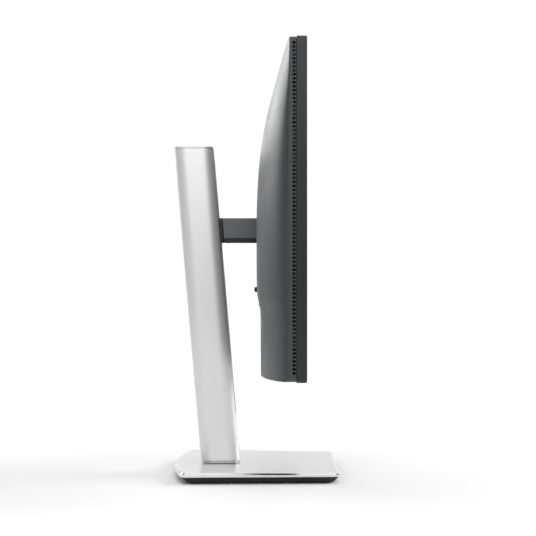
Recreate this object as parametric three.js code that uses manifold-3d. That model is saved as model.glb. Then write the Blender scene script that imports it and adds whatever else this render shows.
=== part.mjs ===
// A 24-inch class office monitor on a height-adjustable stand, as an assembly of separate pieces.
// Millimetres, +Z up, the screen faces -Y, +X is the user's right. The origin is on the desk,
// under the centre of the whole monitor.
import * as THREE from "three";
import { mergeVertices } from "three/addons/utils/BufferGeometryUtils.js";
import Module from "manifold-3d";

const wasm = await Module();
wasm.setup();

// ---------- driving dimensions ----------
const GAP = 0.3; // clearance between neighbouring pieces
const FAR = 400; // further out than any piece reaches
const ALL = [-FAR, FAR];
const SIDES = { left: -1, right: 1 };

// display head
const HEAD_WIDTH = 532;
const HEAD_BOTTOM = 117.5;
const HEAD_TOP = 464.9;
const HEAD_FRONT = -53.2;
const FRAME_BACK = -42.6;
const FRAME_CORNER = 4;
const FRAME_RIM = 1.8;
const CHIN = 14;
const COVER_INSET = 0.9; // how far the rear cover stands back from the frame, all round
const COVER_WALL = 2.4;
const CREASE = -35.4; // where the rear cover's side wall turns into its dome
const DOME_RUN = 137; // from the cover's side edge to the flat of the dome
const ARCH_START = 395; // above this height the flat gives way to an arch across the width

// The dome's depth behind the crease, from the bottom edge to the top edge: [height, depth].
const DOME_PROFILE = [
  [117, 29.0],
  [150, 29.3],
  [187, 29.8],
  [205, 33.0],
  [250, 33.7],
  [297, 33.5],
  [335, 31.6],
  [356, 29.4],
  [376, 26.4],
  [396, 22.6],
  [418, 19.0],
  [440, 14.0],
  [452, 10.8],
  [465, 7.3],
];

// base
const BASE_FRONT = -91;
const BASE_REAR = 91;
const BASE_FRONT_HALF = 121;
const BASE_REAR_HALF = 128.5;
const BASE_SIDE_END = 74; // where the straight sides end and the rear corners start
const BASE_CORNER = 6;
const REAR_CORNER = [8, 10]; // how far the rear corners reach in from the side and the rear
const BASE_TOP = 11.9; // height of the base's top at mid depth
const BASE_SLOPE = 0.0099; // rise of the top towards the rear
const BASE_SEAM = 7.6; // between the top shell and the pan
const BASE_WALL = 1.8;
const BASE_FLOOR = 1.2; // the pan stands this far off the desk, on its pads
const PAN_WALL = 1.2;
const PAN_TAPER = [6.5, 5.8]; // the pan's side leans in by this much, over this height
const WEIGHT_TOP = 6.4;
const PAD_RADIUS = 7;
const PADS = [
  [-98, -74],
  [98, -74],
  [-104, 62],
  [104, 62],
];

// swivel under the column
const SWIVEL_RADIUS = 20;
const SWIVEL_FOOT = 6; // the rotor's lowest level
const BEARING_RADIUS = 32;
const BEARING_TOP = 10.1;
const SCREW_RADIUS = 4;

// column
const LEAN = THREE.MathUtils.degToRad(4.9); // the column leans back
const COLUMN_WIDTH = 62;
const COLUMN_DEPTH = 43.4;
const COLUMN_CORNER = [9, 14]; // how far its round corners reach across it and along its depth
const COLUMN_WALL = 2.5;
const COLUMN_FOOT = 15.6;
const COLUMN_FLOOR = 4; // thickness of the column's closed foot
const COLUMN_CAP = 367.3;
const COLUMN_TOP = 369.6;
const COLUMN_MID_Y = 55.7; // the column's centre line passes here ...
const COLUMN_MID_Z = 200; // ... at this height
const COLUMN_FACE = -COLUMN_DEPTH / 2; // its front face, in its own frame
const SLOT_HALF = 18;
const SLOT_SPARE = 17; // the slot runs on past the carriage's travel
const CABLE_HOLE = { width: 26, height: 40, z: 82 };
const RING_INSET = 0.2; // the hole's ring lies this far below the column's surface
const RAIL = { inner: 24.4, outer: 28, half: 9, from: 118, to: 354 };
const GROOVE = { depth: 1.8, half: 3 }; // in each rail, for the guide shoe's tongue
const SPRING_TOP = 350;
const SPRING_HALF = 9;
const SPRING_THICKNESS = 0.4;

// carriage
const LIFT_UP = 60; // travel of the carriage from the rest height
const LIFT_DOWN = 90;
const BLOCK_HALF = 19;
const BLOCK_SPAN = [-36, 20]; // the block's ends, from the arm's height along the column
const DRUM_RADIUS = 11;
const DRUM_Y = 2.6;
const DRUM_DROP = 50; // the drum's axle below the arm's height, along the column
const AXLE_RADIUS = 3;

// arm and hinges
const ARM_Z = 275;
const ARM_HALF_WIDTH = 25;
const ARM_HALF_HEIGHT = 13.9;
const ARM_CORNER = 3.5;
const ARM_WALL = 2;
const ARM_END = -5.5;
const ARM_SEAM = 5.2; // the two arm covers meet this far above the arm's underside
const COLLAR_REACH = 3.6; // the collar stands this far out from the column
const COLLAR_HEIGHT = 27.8;
const COLLAR_DROP = 2; // the collar's middle below the carriage's, along the column
const BEAM_HALF = 12;
const BEAM_HALF_HEIGHT = 7;
const TILT_Y = -8; // the tilt axis, along X at the arm's height
const PIN_RADIUS = 4;
const EAR = [13.8, 17.3]; // the tilt bracket's two ears, from the middle
const PIVOT_PLATE = [-17.3, -15.9];
const CAP_RADIUS = 48;
const COVER_SKIN = 2; // thickness of the covers over the mount
const PLATE_FACE = -4.4; // their rear face
const MOUNT_PLATE = [-19.6, -17.6];
const VESA_HALF = 50;
const RECESS_HALF = 60;
const RECESS_FLOOR = -22;
const RECESS_CORNER = 8;

// connector bay in the rear cover, open downwards and to the rear
const BAY_HALF = 100;
const BAY_CEILING = 165;
const BAY_FLOOR = -33;

// Connectors in the bay's ceiling: [name, centre x, width, depth].
const PORTS = [
  ["hdmi_port", 22, 15.5, 6.4],
  ["displayport_port", 46, 17.5, 6.4],
  ["usb_upstream_port", 68, 12.6, 11],
  ["usb_device_port", 88, 14.6, 7.2],
];
const PORT_FRONT = -31.5;
const PORT_WALL = 0.7;
const PORT_LENGTH = 14;
const INLET = { x: -68, half: 14, y: [-31.5, -11.5], z: [BAY_CEILING - 1, BAY_CEILING + 21] };

// electronics
const BRACKET_BACK = -37.6;
const BOARD_THICKNESS = 1.6;

// controls on the rear cover
const CONTROL_X = 140;
const JOYSTICK_Z = 206.3;
const JOYSTICK_PIVOT = -8;
const GIMBAL_RADIUS = 4.6;
const POWER_Z = 191.7;
const POWER_KEY = { width: 14, height: 11, corner: 5.4 };
const RELEASE_Z = 204;
const RELEASE_KEY = { width: 24, height: 8, corner: 1.8 };

// ---------- shapes ----------
// A closed three.js geometry as a solid that can be joined and cut.
function solid(geometry) {
  const bare = geometry.clone();
  bare.deleteAttribute("normal");
  bare.deleteAttribute("uv");
  const merged = mergeVertices(bare, 1e-4);
  return new wasm.Manifold(
    new wasm.Mesh({
      numProp: 3,
      vertProperties: new Float32Array(merged.attributes.position.array),
      triVerts: new Uint32Array(merged.index.array),
    }),
  );
}

const join = (first, ...rest) => rest.reduce((sum, part) => sum.add(part), first);
const cut = (first, ...tools) => tools.reduce((left, tool) => left.subtract(tool), first);

// The span between two distances from the middle, on one side of it.
const onSide = (side, near, far) => (side > 0 ? [near, far] : [-far, -near]);
const around = (centre, half) => [centre - half, centre + half];
const middleOf = ([from, to]) => (from + to) / 2;

// A box between two corners.
function block([x0, x1], [y0, y1], [z0, z1]) {
  const box = new THREE.BoxGeometry(x1 - x0, y1 - y0, z1 - z0);
  return solid(box.translate((x0 + x1) / 2, (y0 + y1) / 2, (z0 + z1) / 2));
}

// A rectangle centred on the origin, with corners that are round, or elliptical with their own rise.
function roundedRectangle(width, height, radius, hole = null, rise = radius) {
  const w = width / 2;
  const h = height / 2;
  const shape = new THREE.Shape();
  shape.moveTo(-w + radius, -h);
  shape.lineTo(w - radius, -h);
  shape.absellipse(w - radius, -h + rise, radius, rise, -Math.PI / 2, 0, false);
  shape.absellipse(w - radius, h - rise, radius, rise, 0, Math.PI / 2, false);
  shape.absellipse(-w + radius, h - rise, radius, rise, Math.PI / 2, Math.PI, false);
  shape.absellipse(-w + radius, -h + rise, radius, rise, Math.PI, Math.PI * 1.5, false);
  if (hole) shape.holes.push(hole);
  return shape;
}

const flat = (depth) => ({ depth, bevelEnabled: false, curveSegments: 4 });

// An outline drawn in plan, extruded upwards.
function prismZ(shape, [z0, z1]) {
  return solid(new THREE.ExtrudeGeometry(shape, flat(z1 - z0)).translate(0, 0, z0));
}

// An outline drawn as seen from the front, extruded in depth.
function prismY(shape, [y0, y1], [x, z] = [0, 0]) {
  const geometry = new THREE.ExtrudeGeometry(shape, flat(y1 - y0));
  return solid(geometry.rotateX(Math.PI / 2).translate(x, y1, z));
}

// A round-cornered square plate around the arm's height.
const plateY = (half, radius, span) =>
  prismY(roundedRectangle(2 * half, 2 * half, radius), span, [0, ARM_Z]);

// A round bar along X, Y or Z between two points on that axis.
function rod(axis, radius, [from, to], [x, y, z], sides = 20) {
  const geometry = new THREE.CylinderGeometry(radius, radius, to - from, sides);
  const middle = (from + to) / 2;
  if (axis === "x") return solid(geometry.rotateZ(-Math.PI / 2).translate(middle, y, z));
  if (axis === "y") return solid(geometry.translate(x, middle, z));
  return solid(geometry.rotateX(Math.PI / 2).translate(x, y, middle));
}

// ---------- the scene graph ----------
const monitor = new THREE.Group();
const column = new THREE.Group(); // its own +Z runs up the leaning column
column.position.set(0, COLUMN_MID_Y, COLUMN_MID_Z);
column.rotation.x = -LEAN;
monitor.add(column);
column.updateMatrixWorld(true);

// A solid drawn in the column's own frame, placed where the column stands.
const leaned = (part) => part.transform(column.matrixWorld.elements);

// Where a height on the column's centre line lies along the column's own axis.
const alongColumn = (z) => (z - COLUMN_MID_Z) / Math.cos(LEAN);
const columnY = (z) => COLUMN_MID_Y + (z - COLUMN_MID_Z) * Math.tan(LEAN);
const REST = alongColumn(ARM_Z); // the carriage's place along the column

const FINISH = {
  silver: { color: 0xd9dadb, roughness: 0.38, metalness: 0.55 },
  dark: { color: 0x47494c, roughness: 0.55, metalness: 0.1 },
  black: { color: 0x1d1e20, roughness: 0.6, metalness: 0 },
  steel: { color: 0x9a9da0, roughness: 0.4, metalness: 0.9 },
  zinc: { color: 0xb4b7ba, roughness: 0.5, metalness: 0.8 },
  rubber: { color: 0x151515, roughness: 0.9, metalness: 0 },
  screen: { color: 0x0b0c0e, roughness: 0.25, metalness: 0 },
  acrylic: { color: 0xe9edf0, roughness: 0.2, metalness: 0 },
  nylon: { color: 0xe2e0d8, roughness: 0.6, metalness: 0 },
  board: { color: 0x1e4a33, roughness: 0.5, metalness: 0 },
};

// Adds one named piece to a group.
function piece(name, part, finish, group = monitor) {
  const { vertProperties, triVerts } = part.getMesh();
  const geometry = new THREE.BufferGeometry();
  const positions = new THREE.BufferAttribute(new Float32Array(vertProperties), 3);
  geometry.setAttribute("position", positions);
  geometry.setIndex(new THREE.BufferAttribute(new Uint32Array(triVerts), 1));
  const mesh = new THREE.Mesh(geometry, new THREE.MeshStandardMaterial(FINISH[finish]));
  mesh.name = name;
  group.add(mesh);
}

// ---------- base ----------
// The base in plan: a little wider at the rear, where the edge bows out.
function baseOutline(inset) {
  const front = BASE_FRONT + inset;
  const f = BASE_FRONT_HALF - inset;
  const r = BASE_REAR_HALF - inset;
  const rear = BASE_REAR - inset;
  const sideEnd = BASE_SIDE_END - inset;
  const corner = Math.max(BASE_CORNER - inset, 1);
  const [across, back] = REAR_CORNER;
  const fall = (2 * back * across) / (r - across); // of the bow's end tangent, over the corner
  const shape = new THREE.Shape();
  shape.moveTo(-f + corner, front);
  shape.lineTo(f - corner, front);
  shape.quadraticCurveTo(f, front, f, front + corner);
  shape.lineTo(r, sideEnd);
  shape.quadraticCurveTo(r, rear - back - fall, r - across, rear - back);
  shape.quadraticCurveTo(0, rear + back, -r + across, rear - back);
  shape.quadraticCurveTo(-r, rear - back - fall, -r, sideEnd);
  shape.lineTo(-f, front + corner);
  shape.quadraticCurveTo(-f, front, -f + corner, front);
  return shape;
}

// Everything above a sloping plane that lies at a height at mid depth.
function aboveSlope(height) {
  const slab = new THREE.BoxGeometry(FAR * 2, FAR * 2, FAR);
  slab.translate(0, 0, FAR / 2).rotateX(Math.atan(BASE_SLOPE)).translate(0, 0, height);
  return solid(slab);
}

// A round bar on the swivel's axis.
const onSwivel = (radius, span, sides = 32) =>
  rod("z", radius, span, [0, columnY(COLUMN_FOOT), 0], sides);

function buildBase() {
  const slab = prismZ(baseOutline(0), [BASE_SEAM, 30]).subtract(aboveSlope(BASE_TOP));
  const pocket = prismZ(baseOutline(BASE_WALL), [BASE_SEAM - 1, 30]).subtract(
    aboveSlope(BASE_TOP - BASE_WALL),
  );
  const swivelHole = onSwivel(SWIVEL_RADIUS + 1, [0, 30]);
  piece("base_top_shell", cut(slab, pocket, swivelHole), "silver");

  const [taperSide, taperRise] = PAN_TAPER;
  const tapered = new THREE.ExtrudeGeometry(baseOutline(taperSide + 0.8), {
    depth: 20,
    bevelThickness: taperRise,
    bevelSize: taperSide,
    bevelSegments: 1,
    curveSegments: 4,
  });
  const pan = solid(tapered.translate(0, 0, BASE_FLOOR + taperRise)).intersect(
    block(ALL, ALL, [BASE_FLOOR, BASE_SEAM - GAP]),
  );
  const panPocket = prismZ(baseOutline(taperSide + 2.8), [BASE_FLOOR + PAN_WALL, 30]);
  piece("base_pan", cut(pan, panPocket, onSwivel(13.5, [0, 30])), "black");

  const floor = BASE_FLOOR + PAN_WALL + GAP;
  const weight = prismZ(baseOutline(taperSide + 5.8), [floor, WEIGHT_TOP]);
  piece("base_weight", cut(weight, onSwivel(BEARING_RADIUS + 1, [0, 30])), "steel");

  const washerSeat = onSwivel(BEARING_RADIUS - 5, [0, SWIVEL_FOOT]);
  const bearing = cut(onSwivel(BEARING_RADIUS, [floor, BEARING_TOP]), swivelHole, washerSeat);
  piece("swivel_bearing", bearing, "zinc");

  PADS.forEach(([x, y], i) => {
    const pad = rod("z", PAD_RADIUS, [0, BASE_FLOOR - GAP], [x, y, 0]);
    piece(`foot_pad_${i + 1}`, pad, "rubber");
  });
}

// ---------- column ----------
function columnSection(inset) {
  const [across, back] = COLUMN_CORNER.map((reach) => reach - inset);
  return roundedRectangle(COLUMN_WIDTH - 2 * inset, COLUMN_DEPTH - 2 * inset, across, null, back);
}

// The column's section run along its own axis, cut level at the bottom and the top.
function columnLength(inset, span) {
  return leaned(prismZ(columnSection(inset), ALL)).intersect(block(ALL, ALL, span));
}

// A round-ended hole through the column's front and rear.
function cableHole(inset) {
  const { width, height, z } = CABLE_HOLE;
  const outline = roundedRectangle(width - 2 * inset, height - 2 * inset, width / 2 - inset);
  return leaned(prismY(outline, ALL, [0, alongColumn(z)]));
}

function buildSwivel() {
  const bore = onSwivel(SCREW_RADIUS + 0.5, [0, 30], 16);
  const plateFloor = BASE_TOP + 1;
  const plate = columnLength(2, [plateFloor, COLUMN_FOOT - GAP]);
  const rotor = join(plate, onSwivel(SWIVEL_RADIUS, [SWIVEL_FOOT, plateFloor + 0.1]));
  piece("swivel_rotor", cut(rotor, bore), "silver");
  const washer = onSwivel(BEARING_RADIUS - 7, [SWIVEL_FOOT - 1.8, SWIVEL_FOOT - GAP]);
  piece("swivel_washer", cut(washer, bore), "steel");
  const head = onSwivel(12, [BASE_FLOOR, SWIVEL_FOOT - 2.1], 24);
  const shank = onSwivel(SCREW_RADIUS, [3, 24], 16);
  piece("thumb_screw", join(head, shank), "zinc");
}

function buildColumn() {
  const slotSpan = [REST - LIFT_DOWN - SLOT_SPARE, REST + LIFT_UP + SLOT_SPARE];
  const slotLength = slotSpan[1] - slotSpan[0];
  const slotMiddle = [0, middleOf(slotSpan)];
  const slotOutline = roundedRectangle(SLOT_HALF * 2, slotLength, 4);
  const slot = leaned(prismY(slotOutline, [COLUMN_FACE - 5, 0], slotMiddle));
  const hollow = columnLength(COLUMN_WALL, [COLUMN_FOOT + COLUMN_FLOOR, FAR]);
  const tapping = onSwivel(SCREW_RADIUS + 0.4, [0, 30], 16);
  const outside = columnLength(0, [COLUMN_FOOT, COLUMN_CAP]);
  piece("column_shell", cut(outside, hollow, slot, cableHole(0), tapping), "silver");

  const capTop = columnLength(0, [COLUMN_CAP + GAP, COLUMN_TOP]);
  const plugInset = COLUMN_WALL + GAP;
  const plug = columnLength(plugInset, [COLUMN_CAP - 2.5, COLUMN_CAP + 1]);
  const capHollow = columnLength(plugInset + 1.6, [0, COLUMN_CAP + 0.6]);
  piece("column_cap", cut(join(capTop, plug), capHollow), "silver");

  const ringWall = 1.6;
  const ring = columnLength(RING_INSET, [40, 130]).intersect(cableHole(GAP));
  piece("cable_ring", ring.subtract(cableHole(GAP + ringWall)), "black");

  for (const [name, side] of Object.entries(SIDES)) {
    const bar = block(onSide(side, RAIL.inner, RAIL.outer), around(0, RAIL.half), [
      alongColumn(RAIL.from),
      alongColumn(RAIL.to),
    ]);
    const groove = block(
      onSide(side, RAIL.inner - GROOVE.depth, RAIL.inner + GROOVE.depth),
      around(0, GROOVE.half),
      ALL,
    );
    piece(`rail_${name}`, cut(bar, groove), "steel", column);
  }

  const trimBack = COLUMN_FACE + COLUMN_WALL + 1.5;
  const trimWindow = roundedRectangle(SLOT_HALF * 2 - 2, slotLength - 2, 3);
  const trimOutline = roundedRectangle(SLOT_HALF * 2 + 8, slotLength + 8, 6, trimWindow);
  const trim = prismY(trimOutline, [COLUMN_FACE + COLUMN_WALL + GAP, trimBack], slotMiddle);
  piece("slot_trim", trim, "black", column);

  const anchorZ = alongColumn(SPRING_TOP);
  const anchorSpan = [DRUM_Y + DRUM_RADIUS + 1, -COLUMN_FACE - COLUMN_WALL - GAP];
  const anchor = block(around(0, SPRING_HALF + 1), anchorSpan, [anchorZ - 6, anchorZ + 3]);
  piece("spring_anchor", anchor, "steel", column);
}

// ---------- carriage ----------
function buildCarriage() {
  const axleZ = REST - DRUM_DROP;
  const axle = (radius, half) => rod("x", radius, around(0, half), [0, DRUM_Y, axleZ]);
  const axleHole = axle(AXLE_RADIUS + GAP, 30);
  const [low, high] = BLOCK_SPAN.map((end) => REST + end);
  const body = block(around(0, BLOCK_HALF), [-10, 10], [low, high]);
  const cheeks = Object.values(SIDES).map((side) =>
    block(onSide(side, BLOCK_HALF - 3, BLOCK_HALF), [-8, 8], [axleZ - 6, REST]),
  );
  piece("carriage_block", cut(join(body, ...cheeks), axleHole), "zinc", column);
  piece("drum_axle", axle(AXLE_RADIUS, BLOCK_HALF), "steel", column);

  const near = BLOCK_HALF + GAP;
  const shoeSpan = [low + 2, high - 2];
  for (const [name, side] of Object.entries(SIDES)) {
    const pad = block(onSide(side, near, RAIL.inner - GAP), [-8, 8], shoeSpan);
    const tongueEnd = RAIL.inner + GROOVE.depth - 0.5;
    const tongue = block(onSide(side, near, tongueEnd), around(0, GROOVE.half - 0.4), shoeSpan);
    piece(`guide_shoe_${name}`, join(pad, tongue), "nylon", column);
  }

  const hub = axle(DRUM_RADIUS / 2, 15);
  const reel = rod("x", DRUM_RADIUS, [-11, 11], [0, DRUM_Y, axleZ], 32);
  piece("spring_drum", cut(join(reel, hub), axleHole), "steel", column);
  const stripY = DRUM_Y + DRUM_RADIUS + GAP;
  const stripTop = alongColumn(SPRING_TOP) + 3;
  const strip = block(
    around(0, SPRING_HALF),
    [stripY, stripY + SPRING_THICKNESS],
    [axleZ, stripTop],
  );
  piece("spring_strip", strip, "steel", column);
}

// ---------- arm ----------
const onTilt = (radius, span) => rod("x", radius, span, [0, TILT_Y, ARM_Z]);
const pinHole = onTilt(PIN_RADIUS + GAP, [-30, 30]);

// The bracket reaches from the carriage through the slot to the tilt hinge's middle knuckle.
function buildArm() {
  const flange = leaned(block([-14, 14], [-13.3, -10.3], [REST - 22, REST + 18]));
  const beamHeight = around(ARM_Z, BEAM_HALF_HEIGHT);
  const beam = block(around(0, BEAM_HALF), [TILT_Y, columnY(ARM_Z) - 12], beamHeight);
  const behindFlange = leaned(block(ALL, [-12, FAR], ALL));
  const knuckle = onTilt(7.2, around(0, BEAM_HALF));
  const bracket = join(flange, beam.subtract(behindFlange), knuckle);
  piece("arm_bracket", cut(bracket, pinHole), "steel");

  const window = roundedRectangle(26, 18, 1);
  const collarOutline = roundedRectangle(2 * ARM_HALF_WIDTH + 2, COLLAR_HEIGHT, 4, window);
  const collarSpan = [COLUMN_FACE - COLLAR_REACH, COLUMN_FACE - GAP];
  const collar = leaned(prismY(collarOutline, collarSpan, [0, REST - COLLAR_DROP]));
  const beamRoom = block(around(0, BEAM_HALF + 0.4), ALL, around(ARM_Z, BEAM_HALF_HEIGHT + 0.4));
  piece("arm_collar", cut(collar, beamRoom), "black");

  const innerHalf = ARM_HALF_WIDTH - ARM_WALL;
  const innerHeight = ARM_HALF_HEIGHT - ARM_WALL;
  const channel = roundedRectangle(2 * innerHalf, 2 * innerHeight, 2);
  const section = roundedRectangle(2 * ARM_HALF_WIDTH, 2 * ARM_HALF_HEIGHT, ARM_CORNER, channel);
  const behindSleeve = leaned(block(ALL, [COLUMN_FACE - COLLAR_REACH - GAP, FAR], ALL));
  const sleeve = prismY(section, [ARM_END, columnY(ARM_Z)], [0, ARM_Z]).subtract(behindSleeve);
  const seam = ARM_Z - ARM_HALF_HEIGHT + ARM_SEAM;
  piece("arm_cover_upper", sleeve.intersect(block(ALL, ALL, [seam, FAR])), "dark");
  piece("arm_cover_lower", sleeve.intersect(block(ALL, ALL, [0, seam - GAP])), "black");
}

// ---------- tilt hinge ----------
// A round plate or bar along Y at the arm's height.
const onPivot = (radius, span, sides = 40) => rod("y", radius, span, [0, 0, ARM_Z], sides);

function buildTiltHead() {
  const ears = Object.values(SIDES).map((side) => {
    const span = onSide(side, ...EAR);
    return join(block(span, [-17, TILT_Y], around(ARM_Z, 8)), onTilt(8, span));
  });
  const shaft = onPivot(7.5, [-20, -16.5], 24);
  const bracket = cut(join(onPivot(34, PIVOT_PLATE), shaft, ...ears), pinHole);
  piece("tilt_bracket", bracket, "steel");
  piece("tilt_pin", onTilt(PIN_RADIUS, [-20.5, 20.5]), "steel");
  for (const [name, side] of Object.entries(SIDES)) {
    const washer = onTilt(7, onSide(side, BEAM_HALF + GAP, EAR[0] - GAP));
    piece(`tilt_washer_${name}`, washer.subtract(pinHole), "zinc");
  }

  const outerRadius = CAP_RADIUS - 0.5;
  const skin = onPivot(outerRadius, [PLATE_FACE - COVER_SKIN, PLATE_FACE]);
  const wall = cut(
    onPivot(outerRadius, [-14.5, PLATE_FACE - COVER_SKIN + 0.1]),
    onPivot(outerRadius - COVER_SKIN, [-30, 0]),
  );
  const spokes = Object.values(SIDES).map((side) =>
    block(onSide(side, 28, 46), [-15.6, -14], around(ARM_Z, 6)),
  );
  const armWindow = block([-26, 26], ALL, [ARM_Z - 15.6, ARM_Z + 18]);
  piece("hinge_cap", cut(join(skin, wall, ...spokes), armWindow), "dark");
}

// ---------- mount on the display ----------
function buildMount() {
  const corners = [
    [-1, -1],
    [1, -1],
    [-1, 1],
    [1, 1],
  ].map(([i, k]) => [i * VESA_HALF, 0, ARM_Z + k * VESA_HALF]);
  const holes = corners.map((at) => rod("y", 2.4, [-30, 0], at, 12));
  const plate = cut(plateY(58, 7, MOUNT_PLATE), onPivot(7.9, [-30, 0], 24), ...holes);
  piece("mount_plate", plate, "zinc");
  const washer = cut(onPivot(13, [-21.7, -20.3], 24), onPivot(1.5, [-30, 0], 12));
  piece("pivot_washer", washer, "steel");
  corners.forEach((at, n) => {
    const screw = join(rod("y", 2, [-21.6, -17], at, 12), rod("y", 3.8, [-17.3, -15], at, 16));
    piece(`vesa_screw_${n + 1}`, screw, "steel");
  });

  const half = RECESS_HALF - 0.6;
  const skin = plateY(half, 7.4, [PLATE_FACE - COVER_SKIN, PLATE_FACE]);
  const skirt = cut(plateY(half, 7.4, [-14, PLATE_FACE]), plateY(half - 1.8, 6, [-30, 0]));
  piece("mount_cover", join(cut(skin, onPivot(CAP_RADIUS, [-30, 0])), skirt), "dark");
}

// ---------- rear cover ----------
const profileCurve = new THREE.SplineCurve(DOME_PROFILE.map(([z, d]) => new THREE.Vector2(z, d)));

// The depth of the dome's flat behind the crease at a height, found by halving.
function flatDepth(z) {
  let low = 0;
  let high = 1;
  for (let i = 0; i < 40; i += 1) {
    const middle = (low + high) / 2;
    if (profileCurve.getPoint(middle).x < z) low = middle;
    else high = middle;
  }
  return profileCurve.getPoint(low).y;
}

// The share of that depth reached at a distance from the cover's side edge: a rounded shoulder
// and a flat, which turn into an arch across the whole width towards the top edge.
function rise(distance, z) {
  const t = THREE.MathUtils.clamp(distance / DOME_RUN, 0, 1);
  const shoulder = Math.pow(1 - (1 - t) * (1 - t), 0.6);
  const arch = Math.pow(Math.min(distance / (HEAD_WIDTH / 2), 1), 0.85);
  const height = THREE.MathUtils.clamp((z - ARCH_START) / (HEAD_TOP - ARCH_START), 0, 1);
  return THREE.MathUtils.lerp(shoulder, arch, Math.pow(height, 1.3));
}

// The dome's grid: shares of its run in from the side, and shares of its height.
const EDGE_STEPS = [0, 0.015, 0.05, 0.11, 0.2, 0.32, 0.48, 0.7, 1];
const HEIGHT_STEPS = [
  0, 0.1, 0.2, 0.227, 0.253, 0.32, 0.42, 0.52, 0.61, 0.69, 0.76, 0.82, 0.88, 0.94, 1,
];

// A solid from a flat front at yFront to the dome, drawn in by an inset all round.
function domeSolid(inset, yFront) {
  const half = HEAD_WIDTH / 2 - COVER_INSET - inset;
  const bottom = HEAD_BOTTOM + COVER_INSET + inset;
  const top = HEAD_TOP - COVER_INSET - inset;
  const right = EDGE_STEPS.map((s) => half - s * (DOME_RUN - inset));
  const xs = [...right.map((x) => -x), 0, ...right.slice().reverse()];
  const zs = HEIGHT_STEPS.map((s) => bottom + s * (top - bottom));
  const domeY = (x, z) => CREASE - inset + flatDepth(z) * rise(half - Math.abs(x), z);
  const layers = [domeY, () => yFront];
  const positions = layers.flatMap((y) => zs.flatMap((z) => xs.flatMap((x) => [x, y(x, z), z])));

  const faces = [];
  const quad = (a, b, c, d) => faces.push(a, b, c, a, c, d);
  const nx = xs.length;
  const nz = zs.length;
  const rear = (i, k) => k * nx + i;
  const front = (i, k) => nx * nz + k * nx + i;
  for (let k = 0; k < nz - 1; k += 1) {
    for (let i = 0; i < nx - 1; i += 1) {
      quad(rear(i, k), rear(i, k + 1), rear(i + 1, k + 1), rear(i + 1, k));
      quad(front(i, k), front(i + 1, k), front(i + 1, k + 1), front(i, k + 1));
    }
    quad(rear(0, k), front(0, k), front(0, k + 1), rear(0, k + 1));
    quad(rear(nx - 1, k), rear(nx - 1, k + 1), front(nx - 1, k + 1), front(nx - 1, k));
  }
  for (let i = 0; i < nx - 1; i += 1) {
    quad(rear(i, 0), rear(i + 1, 0), front(i + 1, 0), front(i, 0));
    quad(rear(i, nz - 1), front(i, nz - 1), front(i + 1, nz - 1), rear(i + 1, nz - 1));
  }
  const geometry = new THREE.BufferGeometry();
  geometry.setAttribute("position", new THREE.Float32BufferAttribute(positions, 3));
  geometry.setIndex(faces);
  return solid(geometry);
}

function buildRearCover() {
  const yFront = FRAME_BACK + GAP;
  const top = HEAD_TOP - COVER_INSET;
  const bottom = HEAD_BOTTOM + COVER_INSET;
  const outline = roundedRectangle(HEAD_WIDTH - 2 * COVER_INSET, top - bottom, FRAME_CORNER);
  const corners = prismY(outline, [-60, 20], [0, (top + bottom) / 2]);
  const outer = domeSolid(0, yFront).intersect(corners);
  const recess = plateY(RECESS_HALF, RECESS_CORNER, [RECESS_FLOOR, 40]);
  const bay = block(around(0, BAY_HALF), [BAY_FLOOR, 40], [0, BAY_CEILING]);
  const recessWall = plateY(RECESS_HALF + COVER_WALL, RECESS_CORNER + 1, [
    RECESS_FLOOR - COVER_WALL,
    40,
  ]);
  const bayWall = block(
    around(0, BAY_HALF + COVER_WALL),
    [BAY_FLOOR - COVER_WALL, 40],
    [0, BAY_CEILING + COVER_WALL],
  );
  const hollow = cut(domeSolid(COVER_WALL, yFront - 5), recessWall, bayWall);

  const ceiling = [BAY_CEILING - 5, BAY_CEILING + 10];
  const portHoles = PORTS.map(([, x, width, depth]) =>
    block(around(x, width / 2 + GAP), [PORT_FRONT - GAP, PORT_FRONT + depth + GAP], ceiling),
  );
  const inletDepth = [INLET.y[0] - GAP, INLET.y[1] + GAP];
  const inletHole = block(around(INLET.x, INLET.half + GAP), inletDepth, ceiling);

  const through = [-20, 10];
  const keyHole = ({ width, height, corner }, at) =>
    prismY(roundedRectangle(width + 0.6, height + 0.6, corner + GAP), through, at);
  const controlHoles = [
    rod("y", 4.6, through, [CONTROL_X, 0, JOYSTICK_Z], 24),
    keyHole(POWER_KEY, [CONTROL_X, POWER_Z]),
    keyHole(RELEASE_KEY, [0, RELEASE_Z]),
  ];
  const cover = cut(outer, hollow, recess, bay, ...portHoles, inletHole, ...controlHoles);
  piece("rear_cover", cover, "dark");
}

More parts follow.
